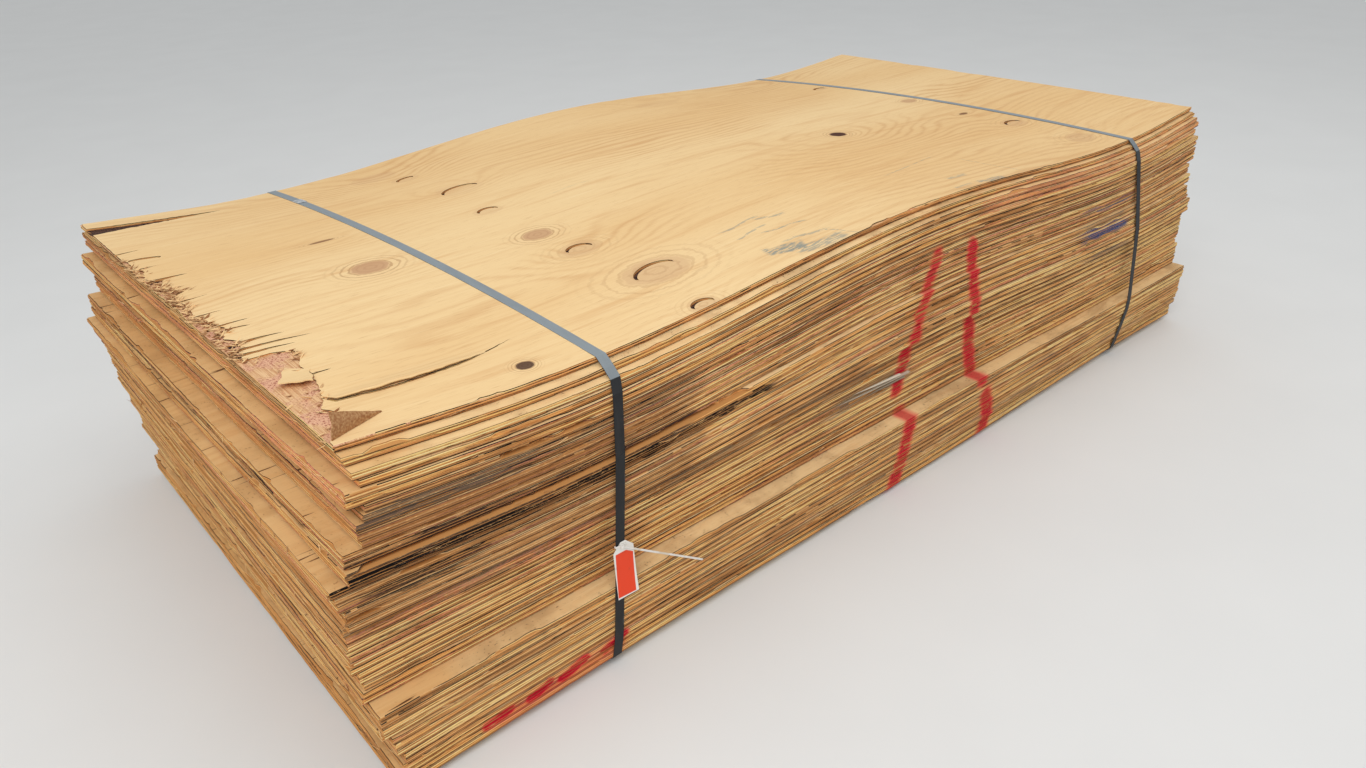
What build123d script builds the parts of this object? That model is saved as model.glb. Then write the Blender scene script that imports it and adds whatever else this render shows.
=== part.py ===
from build123d import *
import math
import os
import random

# Sheets: 4 ft by 8 ft plywood of the 15/32 in category, made of five plies
sheet_length = 2438.0
sheet_width = 1219.0
sheet_thickness = 11.5
sheet_count = 47
plies = 5
sheet_gap = 0.05

# Bearers: two flat boards, one under each strap
bearer_width = 89.0
bearer_height = 19.0
bearer_setback = 22.0
bearer_seat = 0.25

# Straps: flat steel band, and the line that each one takes round the stack
strap_width = 19.0
strap_thickness = 0.6
strap_clearance = 0.3
strap_spacing = 1649.0
straps_middle = 17.5
left_skew = 0.02
right_skew = 0.066
left_lean = 0.083
right_lean = 0.045

# Seals: crimped steel sleeves that close the straps
seal_length = 32.0
seal_thickness = 0.8
seal_side_clearance = 0.2
crimp_length = 4.0
crimp_depth = 0.9
crimp_spacing = 13.0
left_seal_inset = 155.0
right_seal_height = 330.0

# How far the loose sheets of the full stack stand above the level that the straps press them to
edge_bulge = 62.0
end_flare = 40.0
crown = 31.0

# How far the whole stack hangs below its bearers, midway between them and at its ends
sag = 9.0
end_droop = 6.0

# Tag: a card on the left strap, held by a nylon cable tie
tag_width = 42.0
tag_length = 112.0
tag_thickness = 0.5
tag_corner = 16.0
tag_tilt = 6.0
tag_sheet = 21
tag_slot_offset = 5.0
tag_slot_drop = 7.0
tie_width = 3.6
tie_thickness = 1.1
tie_head = 6.0
tie_tail = 175.0
tie_tail_rise = 12.0
tie_tail_swing = 26.0
tie_clearance = 0.3

# Lifts of sheets from the ground up: sheets in it, slip towards the left end,
# slip towards the near side, and turn in degrees
lifts = [
    (3, 22.0, 53.0, -0.7),
    (3, 10.0, 57.0, -0.75),
    (3, 16.0, 59.5, -0.9),
    (4, 28.0, 62.0, -1.1),
    (5, 28.0, 30.0, -1.2),
    (4, 38.0, 30.0, -1.1),
    (4, 38.0, 33.5, -0.95),
    (3, 44.0, 51.5, -0.62),
    (3, 54.0, 48.0, -0.5),
    (2, 36.0, 46.5, -0.05),
    (2, 34.0, 41.0, 0.0),
    (3, 12.0, 40.5, 0.15),
    (2, -1.0, 38.0, 0.26),
    (2, 18.0, 35.5, 0.31),
    (1, -3.0, 33.0, 0.34),
    (1, 3.0, 30.5, 0.38),
    (1, 3.0, 15.0, 0.21),
    (1, 0.0, 0.0, 0.0),
]
end_scatter = 3.0
side_scatter = 1.6
scatter_seed = 5

# Broken edges: sheet, the side it is on, from and to along that side, depth, plies lost from the top
chips = [
    (34, "near", -1240.0, -520.0, 24.0, 2),
    (41, "near", -1010.0, -925.0, 26.0, 3),
    (41, "near", -905.0, -850.0, 12.0, 2),
    (46, "near", -1190.0, -1130.0, 14.0, 1),
    (26, "near", -215.0, -110.0, 22.0, 3),
    (28, "near", -1265.0, -1205.0, 20.0, 3),
    (31, "near", -1180.0, -1110.0, 16.0, 2),
    (36, "near", -1135.0, -1090.0, 14.0, 2),
    (28, "near", -1040.0, -780.0, 12.0, 1),
    (45, "left", -330.0, -210.0, 16.0, 2),
    (39, "left", 120.0, 260.0, 18.0, 2),
    (33, "left", -420.0, -260.0, 22.0, 2),
]

# Inner side of every chip: place along it and depth, as shares of its length and depth
chip_shape = [(0.0, 0.15), (0.22, 0.55), (0.36, 0.4), (0.55, 1.0), (0.78, 0.5), (0.88, 0.6), (1.0, 0.2)]

# Open knot holes in the face veneer of the top sheet: along, across, length, width, turn
knot_holes = [
    (-587.0, 377.0, 48.0, 26.0, 10.0),
    (-545.0, 219.0, 95.0, 62.0, 5.0),
    (-574.0, 53.0, 50.0, 40.0, 0.0),
    (-579.0, -273.0, 58.0, 46.0, -5.0),
    (-545.0, -453.0, 100.0, 62.0, 8.0),
    (-570.0, -592.0, 46.0, 36.0, 0.0),
    (761.0, 307.0, 44.0, 34.0, 0.0),
    (761.0, -350.0, 60.0, 40.0, 0.0),
]
knot_slit = 4.0

# Face veneer torn off the top sheet, along its left end
torn_end = [
    (-1260.0, 330.0),
    (-1214.0, 318.0),
    (-1217.0, 262.0),
    (-1206.0, 232.0),
    (-1216.0, 176.0),
    (-1190.0, 142.0),
    (-1210.0, 60.0),
    (-1204.0, -40.0),
    (-1210.0, -120.0),
    (-1178.0, -196.0),
    (-1198.0, -262.0),
    (-1146.0, -290.0),
    (-1140.0, -372.0),
    (-1162.0, -404.0),
    (-1128.0, -452.0),
    (-1150.0, -530.0),
    (-1260.0, -530.0),
]
split_wedge = [(-1260.0, 560.0), (-985.0, 528.0), (-1260.0, 492.0)]
long_crack = [(-1165.0, -496.0), (-1010.0, -506.0), (-902.0, -492.0), (-1010.0, -515.0)]

# Corner of the top sheet's face veneer that has curled up from its hinge
flap_hinge = -1112.0
flap_length = 92.0
flap_inner = -541.0
flap_outer = -607.0
flap_hinge_inner = -584.0
flap_angle = 28.0

# Spare reach of the faces and tools that the sheets are cut with, past what they have to hold
spare_reach = 40.0

half_length = sheet_length / 2
half_width = sheet_width / 2
half_spacing = strap_spacing / 2
ply_thickness = sheet_thickness / plies
pitch = sheet_thickness + sheet_gap
strap_bite = 2 * strap_clearance + strap_thickness
stack_height = bearer_height + sheet_count * pitch
left_strap = straps_middle - half_spacing
right_strap = straps_middle + half_spacing

# The pressed faces are described over an area that holds every slipped sheet
most_slip = max(max(abs(end), abs(side)) for _, end, side, _ in lifts)
most_turn = math.radians(max(abs(turn) for _, _, _, turn in lifts))
press_length = half_length + most_slip + half_width * most_turn + abs(straps_middle) + spare_reach
press_width = half_width + most_slip + half_length * most_turn + spare_reach


def even_curve(middle, at_straps, at_ends):
    """Factors for powers 0, 2, 4 and 6 of a line along the stack that is level at the straps."""
    reach = (half_length / half_spacing) ** 2
    drop = middle - at_straps
    sixth = (at_ends - middle + drop * (2 * reach - reach**2)) / (reach * (reach - 1) ** 2)
    return (middle, sixth - 2 * drop, drop - 2 * sixth, sixth)


edge_line = even_curve(edge_bulge, 0.0, end_flare)
middle_line = even_curve(edge_bulge, crown, end_flare)
sag_line = even_curve(-sag, 0.0, -end_droop)


def line_height(line, along):
    """Height of a line at a place along the stack."""
    steps = (along - straps_middle) / half_spacing
    return sum(factor * steps ** (2 * i) for i, factor in enumerate(line))


def lowest_over_bearers():
    """How far the sagging line dips within the bearers, which the bottom sheet has to clear."""
    reach = half_width * max(abs(left_skew), abs(right_skew)) + bearer_width / 2
    strap_drift = stack_height * max(abs(left_lean), abs(right_lean))
    places_along = (left_strap - reach - strap_drift, right_strap + reach + strap_drift)
    return min(line_height(sag_line, along) for along in places_along)


def face_height(along, across, level, share):
    """Height of a pressed face, with its share of the full stack's looseness."""
    edge = (across / press_width) ** 2
    loose = edge * line_height(edge_line, along) + (1 - edge) * line_height(middle_line, along)
    return level + line_height(sag_line, along) + share * loose


def power_net(power, degree):
    """Control heights of the Bezier curve over -1 to 1 that is a plain power."""
    return [
        sum(
            math.comb(i, plus) * math.comb(degree - i, power - plus) * (-1) ** (power - plus)
            for plus in range(power + 1)
        )
        / math.comb(degree, power)
        for i in range(degree + 1)
    ]


def line_net(line):
    """Control heights of a line over the pressed length."""
    degree = 2 * (len(line) - 1)
    stretch = press_length / half_spacing
    nets = [power_net(2 * i, degree) for i in range(len(line))]
    return [
        sum(factor * stretch ** (2 * i) * nets[i][n] for i, factor in enumerate(line))
        for n in range(degree + 1)
    ]


def pressed_face(level, share):
    """The doubly curved face that the straps press the sheets to, at one level of the stack."""
    edges, middles, sags = line_net(edge_line), line_net(middle_line), line_net(sag_line)
    last = len(edges) - 1
    net = []
    for i in range(last + 1):
        along = straps_middle + press_length * (2 * i / last - 1)
        low = level + sags[i]
        at_edge = low + share * edges[i]
        at_middle = low + share * (2 * middles[i] - edges[i])
        net.append(
            [
                (along, -press_width, at_edge),
                (along, 0, at_middle),
                (along, press_width, at_edge),
            ]
        )
    return Face.make_bezier_surface(net)


def pressed_slab(level, share, thickness):
    """A layer between a pressed face and its copy above."""
    return extrude(pressed_face(level, share), amount=thickness, dir=(0, 0, 1))


def sheet_level(number):
    """Height at the straps of the underside of a sheet, counted from 1 at the bottom."""
    return bearer_height + bearer_seat - lowest_over_bearers() + (number - 1) * pitch


def sheet_share(number):
    """A sheet's share of the looseness of the full stack."""
    return (number - 1) / sheet_count


def sheet_places():
    """Slip along, slip across and turn of each sheet, from the bottom up, measured from the top one."""
    chance = random.Random(scatter_seed)
    places = []
    for count, end_slip, side_slip, turn in lifts:
        for _ in range(count):
            along = -end_slip + chance.uniform(-end_scatter, end_scatter)
            across = -side_slip + chance.uniform(-side_scatter, side_scatter)
            places.append((along, across, turn))
    while len(places) < sheet_count:
        places.insert(0, places[0])
    places = places[len(places) - sheet_count :]
    places[-1] = (0.0, 0.0, 0.0)
    return places


places = sheet_places()
stack_top = sheet_level(sheet_count + 1) + max(edge_bulge, end_flare, crown)
past_top = stack_top + spare_reach


def sheet(number):
    """One plywood sheet where it lies in the stack, with the chips broken from its edges."""
    along, across, turn = places[number - 1]
    outline = Pos(along, across, 0) * Rot(0, 0, turn) * Rectangle(sheet_length, sheet_width)
    slab = pressed_slab(sheet_level(number), sheet_share(number), sheet_thickness)
    body = slab & extrude(outline, amount=past_top, both=True)
    for chipped, side, start, end, depth, lost in chips:
        if chipped == number:
            body -= extrude(chip(number, side, start, end, depth), amount=past_top) & top_plies(number, lost)
    return body


def top_plies(number, count):
    """The top plies of a sheet and the room above them, which its damage is cut from."""
    level = sheet_level(number) + sheet_thickness - count * ply_thickness
    return pressed_slab(level, sheet_share(number), (count + 1) * ply_thickness)


def chip(number, side, start, end, depth):
    """Plan of a bit broken from a sheet's near edge or left end, ragged on its inner side."""
    along, across, turn = places[number - 1]
    length = end - start
    outline = [(0, -spare_reach), (length, -spare_reach)]
    outline += [(length * (1 - share), depth * deep) for share, deep in chip_shape]
    broken = make_face(Polyline(*outline, close=True))
    if side == "near":
        return Pos(start, edge_across(number, -1, start), 0) * Rot(0, 0, turn) * broken
    return Pos(along - half_length, across + end, 0) * Rot(0, 0, turn - 90) * broken


def knot_hole(along, across, length, width, turn):
    """Plan of a crescent where a knot or its plug has dropped out of the veneer."""
    hole = Ellipse(length / 2, width / 2)
    plug = Pos(0, -knot_slit, 0) * Ellipse(length / 2 - knot_slit / 2, width / 2 - knot_slit / 2)
    return Pos(along, across, 0) * Rot(0, 0, turn) * (hole - plug)


def flap_plan():
    """Plan of the curled corner of veneer, measured from its hinge."""
    return make_face(
        Polyline(
            (0, flap_hinge_inner),
            (0, flap_outer),
            (-flap_length, flap_outer),
            (-flap_length, flap_inner),
            close=True,
        )
    )


def flap():
    """The corner of the top sheet's veneer that has curled up about its hinge."""
    top = sheet_level(sheet_count) + sheet_thickness
    height = face_height(flap_hinge, flap_outer, top, sheet_share(sheet_count)) - ply_thickness
    return Pos(flap_hinge, 0, height) * Rot(0, flap_angle, 0) * extrude(flap_plan(), amount=ply_thickness)


def top_sheet():
    """The top sheet, with its knot holes, torn end, split, crack and flap, all one veneer deep."""
    damage = Sketch() + [knot_hole(*hole) for hole in knot_holes]
    for corners in (torn_end, split_wedge, long_crack):
        damage += make_face(Polyline(*corners, close=True))
    damage += Pos(flap_hinge, 0, 0) * flap_plan()
    cutter = extrude(damage, amount=past_top) & top_plies(sheet_count, 1)
    return sheet(sheet_count) - cutter + flap()


def edge_across(number, side, along):
    """Where a sheet's long edge, near (-1) or far (1), lies at a place along the stack."""
    slip_along, slip_across, turn = places[number - 1]
    angle = math.radians(turn)
    return slip_across + (along - slip_along) * math.tan(angle) + side * half_width / math.cos(angle)


class StrapLine:
    """The tilted plane that a strap runs in, and its taut loop round sheets and bearer."""

    def __init__(self, along, skew, lean):
        self.along = along
        self.skew = skew
        self.lean = lean

    def at(self, across, height):
        """The place on the strap's middle line with this place across and height."""
        level = sheet_level(sheet_count + 1)
        return Vector(self.along - self.skew * across + self.lean * (height - level), across, height)

    def surface(self, across, number, top):
        """Highest or lowest a sheet's face reaches across the strap's width."""
        level = sheet_level(number) + (sheet_thickness if top else 0)
        middle = self.at(across, level).X
        heights = [
            face_height(middle + offset, across, level, sheet_share(number))
            for offset in (-strap_width / 2, 0, strap_width / 2)
        ]
        return max(heights) if top else min(heights)

    def bearer_end(self, side):
        """Where the bearer under this strap ends, set back from the bottom sheet's edge."""
        along = self.at(side * half_width, bearer_height).X
        return edge_across(1, side, along) - side * bearer_setback

    def corners(self):
        """Corners that the strap could bear on, across and up."""
        found = [(self.bearer_end(side), strap_bite) for side in (-1, 1)]
        for number in range(1, sheet_count + 1):
            for side in (-1, 1):
                for top in (False, True):
                    along = self.at(side * half_width, sheet_level(number)).X
                    across = edge_across(number, side, along)
                    found.append((across, self.surface(across, number, top)))
        return found

    def loop(self, gap):
        """Corners of the taut loop at a gap from what it holds, and the top of its crown."""
        corners = grown(hull(self.corners()), gap)
        crown_height = self.surface(0.0, sheet_count, True) + gap
        return corners, crown_height

    def wire(self, gap):
        """The taut loop as a closed wire in the strap's own plane."""
        corners, crown_height = self.loop(gap)
        near, far = top_run(corners)
        edges = [ThreePointArc(self.at(*near), self.at(0, crown_height), self.at(*far))]
        start = corners.index(near)
        order = corners[start:] + corners[:start]
        for first, second in zip(order, order[1:]):
            edges.append(Line(self.at(*first), self.at(*second)))
        return Wire(edges)

    def strap(self):
        """The steel band, drawn tight round the stack."""
        ring = Face(self.wire(strap_clearance + strap_thickness), [self.wire(strap_clearance)])
        band = extrude(ring, amount=strap_width, dir=(1, 0, 0))
        return Pos(-strap_width / 2, 0, 0) * band

    def run_frame(self, first, second, share):
        """Frame on the outside of a straight run of the strap, X across it and Z outwards."""
        start, end = self.at(*first), self.at(*second)
        direction = (end - start).normalized()
        across = (Vector(1, 0, 0) - direction * direction.X).normalized()
        outward = direction.cross(across).normalized()
        return Plane(start + (end - start) * share, x_dir=across, z_dir=outward)


def hull(points):
    """Convex hull of places in a plane, counter-clockwise."""
    ordered = sorted(set(points))

    def half(points_in_order):
        chain = []
        for point in points_in_order:
            while len(chain) > 1 and turning(chain[-2], chain[-1], point) <= 0:
                chain.pop()
            chain.append(point)
        return chain[:-1]

    return half(ordered) + half(reversed(ordered))


def turning(first, second, third):
    """Positive where three places turn to the left."""
    return (second[0] - first[0]) * (third[1] - first[1]) - (second[1] - first[1]) * (third[0] - first[0])


def grown(corners, gap):
    """A convex outline moved outwards by a gap, its corners kept sharp."""
    moved = []
    for i, corner in enumerate(corners):
        before, after = corners[i - 1], corners[(i + 1) % len(corners)]
        first, second = outward_normal(before, corner), outward_normal(corner, after)
        scale = gap / (1 + first[0] * second[0] + first[1] * second[1])
        moved.append(
            (corner[0] + scale * (first[0] + second[0]), corner[1] + scale * (first[1] + second[1]))
        )
    return moved


def outward_normal(first, second):
    """Unit normal to the right of a run, which is outwards on a counter-clockwise outline."""
    run = math.dist(first, second)
    return ((second[1] - first[1]) / run, (first[0] - second[0]) / run)


def top_run(corners):
    """The two ends, near then far, of the longest run that has the stack below it."""
    runs = list(zip(corners, corners[1:] + corners[:1]))
    far, near = max((run for run in runs if run[0][0] > run[1][0]), key=lambda run: math.dist(*run))
    return near, far


def bearer(line):
    """A board under a strap, with the bite that the strap has pressed into its underside."""
    near, far = line.bearer_end(-1), line.bearer_end(1)
    middle = line.at((near + far) / 2, 0)
    board = Box(bearer_width, far - near, bearer_height, align=(Align.CENTER, Align.CENTER, Align.MIN))
    bite = Box(
        strap_width + 2 * strap_bite,
        far - near + spare_reach,
        strap_bite,
        align=(Align.CENTER, Align.CENTER, Align.MIN),
    )
    return Pos(middle) * Rot(0, 0, math.degrees(math.atan(line.skew))) * (board - bite)


def seal(frame):
    """A channel-shaped seal over the strap, its sides nicked where it was crimped."""
    inside = strap_width + 2 * seal_side_clearance
    outside = inside + 2 * seal_thickness
    plate = Pos(0, 0, strap_clearance) * Box(
        outside, seal_length, seal_thickness, align=(Align.CENTER, Align.CENTER, Align.MIN)
    )
    side_height = strap_thickness + strap_clearance + seal_thickness
    side = Box(seal_thickness, seal_length, side_height, align=(Align.CENTER, Align.CENTER, Align.MIN))
    body = plate
    for hand in (-1, 1):
        body += Pos(hand * (outside - seal_thickness) / 2, 0, -strap_thickness) * side
    for hand in (-1, 1):
        for end in (-1, 1):
            nick = Box(2 * crimp_depth, crimp_length, 2 * side_height)
            body -= Pos(hand * outside / 2, end * crimp_spacing / 2, 0) * nick
    return frame * body


left_line = StrapLine(left_strap, left_skew, left_lean)
right_line = StrapLine(right_strap, right_skew, right_lean)


def left_seal():
    """The seal on top of the stack, towards its far side."""
    corners, crown_height = left_line.loop(strap_clearance + strap_thickness)
    near, far = top_run(corners)
    arc = ThreePointArc(left_line.at(*near), left_line.at(0, crown_height), left_line.at(*far))
    share = 1 - left_seal_inset / (far[0] - near[0])
    direction = arc % share
    across = (Vector(1, 0, 0) - direction * direction.X).normalized()
    return seal(Plane(arc @ share, x_dir=across, z_dir=across.cross(direction)))


def right_seal():
    """The seal on the far face of the stack."""
    corners, _ = right_line.loop(strap_clearance + strap_thickness)
    for first, second in zip(corners, corners[1:] + corners[:1]):
        if first[0] > 0 and first[1] <= right_seal_height < second[1]:
            share = (right_seal_height - first[1]) / (second[1] - first[1])
            return seal(right_line.run_frame(first, second, share))
    raise ValueError("the right seal is above or below its strap")


def tag_frame():
    """Frame on the near run of the left strap at the tag's sheet, Y up the strap, Z outwards."""
    height = sheet_level(tag_sheet)
    corners, _ = left_line.loop(strap_clearance + strap_thickness)
    for first, second in zip(corners, corners[1:] + corners[:1]):
        if first[0] < 0 and second[1] <= height < first[1]:
            share = (first[1] - height) / (first[1] - second[1])
            return left_line.run_frame(first, second, share)
    raise ValueError("the tag is above or below its strap")


hole_length = tie_width + 4 * tie_clearance
hole_width = tie_thickness + 4 * tie_clearance
tie_leg = strap_width / 2 + tie_clearance + tie_thickness / 2


def tag():
    """A card with two clipped corners, hung by a slot on the tie beside the strap's edge."""
    card = Rectangle(tag_width, tag_length)
    card = chamfer(card.vertices().group_by(Axis.Y)[-1], tag_corner)
    card = Pos(-tag_slot_offset, -tag_length / 2 + tag_slot_drop, 0) * card
    card = Rot(0, 0, tag_tilt) * card - Rectangle(hole_width, hole_length)
    return tag_frame() * Pos(tie_leg, 0, strap_clearance) * extrude(card, amount=tag_thickness)


def cable_tie():
    """A nylon tie round the strap and through the tag, with its head and long tail."""
    depth = strap_thickness + 2 * strap_clearance + tag_thickness + 2 * tie_clearance
    inner = Box(strap_width + 2 * tie_clearance, tie_width, depth)
    outer = Box(
        strap_width + 2 * (tie_clearance + tie_thickness), tie_width, depth + 2 * tie_thickness
    )
    ring = Pos(0, 0, depth / 2 - strap_thickness - tie_clearance) * (outer - inner)
    front = depth - strap_thickness - tie_clearance
    head = Pos(0, 0, front + tie_head / 2) * Box(tie_head, tie_head, tie_head)
    tail = Box(
        tie_tail, tie_width, tie_thickness, align=(Align.MIN, Align.CENTER, Align.CENTER)
    )
    tail = Pos(0, 0, front + tie_head / 2) * Rot(0, -tie_tail_rise, -tie_tail_swing) * tail
    return tag_frame() * (ring + head + tail)


def build():
    """Every piece of the stack by its name."""
    pieces = {f"sheet_{number:02d}": sheet(number) for number in range(1, sheet_count)}
    pieces[f"sheet_{sheet_count:02d}"] = top_sheet()
    for side, line in (("left", left_line), ("right", right_line)):
        pieces[f"bearer_{side}"] = bearer(line)
        pieces[f"strap_{side}"] = line.strap()
    pieces["seal_left"] = left_seal()
    pieces["seal_right"] = right_seal()
    pieces["tag"] = tag()
    pieces["cable_tie"] = cable_tie()
    return pieces


pieces = build()

# The stack stands on the ground with its origin under the middle of its box
box = Compound(children=[Compound([piece]) for piece in pieces.values()]).bounding_box()
home = Pos(-box.center().X, -box.center().Y, -box.min.Z)

os.makedirs("parts", exist_ok=True)
for name, piece in pieces.items():
    export_step((home * piece).solid(), f"parts/{name}.step")
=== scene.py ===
"""Strapped stack of plywood sheets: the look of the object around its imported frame."""

import logging
import math
from dataclasses import dataclass, field
from enum import Enum
from typing import Callable, Sequence, Union

import bpy
import numpy as np
from mathutils import Matrix, Vector
from mathutils.bvhtree import BVHTree


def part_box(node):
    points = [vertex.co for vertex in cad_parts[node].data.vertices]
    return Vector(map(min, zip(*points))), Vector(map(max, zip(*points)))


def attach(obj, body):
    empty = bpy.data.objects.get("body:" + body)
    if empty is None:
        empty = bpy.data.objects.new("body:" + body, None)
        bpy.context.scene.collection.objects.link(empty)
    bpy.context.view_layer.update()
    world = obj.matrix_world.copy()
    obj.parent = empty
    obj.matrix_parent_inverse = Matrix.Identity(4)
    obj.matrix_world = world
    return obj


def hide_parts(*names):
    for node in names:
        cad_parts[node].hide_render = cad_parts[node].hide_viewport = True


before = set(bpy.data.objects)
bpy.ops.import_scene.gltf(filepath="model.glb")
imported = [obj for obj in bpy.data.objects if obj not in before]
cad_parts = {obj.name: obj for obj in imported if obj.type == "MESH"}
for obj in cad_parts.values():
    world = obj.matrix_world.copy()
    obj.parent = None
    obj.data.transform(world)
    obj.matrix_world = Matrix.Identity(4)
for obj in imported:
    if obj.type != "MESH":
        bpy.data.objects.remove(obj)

MM = 0.001

log = logging.getLogger("plywood_stack")

Colour = tuple[float, float, float, float]


def srgb(red: float, green: float, blue: float) -> Colour:
    """A colour read from a screen, as the linear colour that shaders take.

    Args:
        red: Red from 0 to 255.
        green: Green from 0 to 255.
        blue: Blue from 0 to 255.

    Returns:
        The linear red, green and blue, and a full alpha.
    """
    linear = []
    for level in (red, green, blue):
        share = level / 255
        linear.append(share / 12.92 if share <= 0.04045 else ((share + 0.055) / 1.055) ** 2.4)
    return (linear[0], linear[1], linear[2], 1.0)


def wander(places: np.ndarray, spacing: float, seed: int) -> np.ndarray:
    """Smooth chance values along a line.

    Args:
        places: Places along the line, in metres, within five metres of its middle.
        spacing: Distance between two chance values, in metres.
        seed: Which line of chance values to take.

    Returns:
        One value from -1 to 1 for each place.
    """
    reach = math.ceil(5.0 / spacing)
    chance = np.random.default_rng(seed).uniform(-1, 1, 2 * reach + 2)
    steps = places / spacing + reach
    low = np.floor(steps).astype(int)
    share = steps - low
    share = share * share * (3 - 2 * share)
    return chance[low] * (1 - share) + chance[low + 1] * share


# ---------------------------------------------------------------- shader tools
class Shade:
    """A number that varies over a surface; reckoning with it adds Math nodes."""

    def __init__(self, graph: "Graph", socket: bpy.types.NodeSocket) -> None:
        """Wraps a socket of a graph."""
        self.graph = graph
        self.socket = socket

    def reckon(self, operation: str, *others: "Number") -> "Shade":
        """Adds a Math node.

        Args:
            operation: The Math node's operation.
            others: The numbers that follow this one.

        Returns:
            The node's result.
        """
        return self.graph.math(operation, self, *others)

    def __add__(self, other: "Number") -> "Shade":
        """This number plus another."""
        return self.reckon("ADD", other)

    def __radd__(self, other: "Number") -> "Shade":
        """Another number plus this one."""
        return self.reckon("ADD", other)

    def __sub__(self, other: "Number") -> "Shade":
        """This number less another."""
        return self.reckon("SUBTRACT", other)

    def __rsub__(self, other: "Number") -> "Shade":
        """Another number less this one."""
        return self.graph.math("SUBTRACT", other, self)

    def __mul__(self, other: "Number") -> "Shade":
        """This number times another."""
        return self.reckon("MULTIPLY", other)

    def __rmul__(self, other: "Number") -> "Shade":
        """Another number times this one."""
        return self.reckon("MULTIPLY", other)

    def __truediv__(self, other: "Number") -> "Shade":
        """This number over another."""
        return self.reckon("DIVIDE", other)

    def __pow__(self, other: "Number") -> "Shade":
        """This number to a power."""
        return self.reckon("POWER", other)

    def __abs__(self) -> "Shade":
        """This number without its sign."""
        return self.reckon("ABSOLUTE")

    def floor(self) -> "Shade":
        """The whole number below this one."""
        return self.reckon("FLOOR")

    def fract(self) -> "Shade":
        """What this number has over its whole number."""
        return self.reckon("FRACT")

    def most(self, other: "Number") -> "Shade":
        """The larger of this number and another."""
        return self.reckon("MAXIMUM", other)

    def least(self, other: "Number") -> "Shade":
        """The smaller of this number and another."""
        return self.reckon("MINIMUM", other)

    def rise(self, low: "Number", high: "Number") -> "Shade":
        """A soft step from 0 to 1, which falls where the second end is the lower one.

        Args:
            low: Where the step is 0.
            high: Where the step is 1.

        Returns:
            0 on one side of the step and 1 on the other.
        """
        node = self.graph.node(
            "ShaderNodeMapRange",
            {"interpolation_type": "SMOOTHSTEP", "clamp": True},
            {"Value": self, "From Min": low, "From Max": high},
        )
        return Shade(self.graph, node.outputs["Result"])

    def within(self, low: float, high: float, soft: float) -> "Shade":
        """A soft-edged band.

        Args:
            low: Lower end of the band.
            high: Upper end of the band.
            soft: Width of each soft edge.

        Returns:
            1 within the band and 0 outside it.
        """
        half = (high - low) / 2
        return abs(self - (low + half)).rise(half + soft, half - soft)

    def inside(self, low: float, high: float) -> "Shade":
        """1 within a hard-edged band and 0 outside it."""
        return self.reckon("COMPARE", (low + high) / 2, (high - low) / 2)


Number = Union[float, Shade]
Paint = Union[Colour, bpy.types.NodeSocket]


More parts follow.
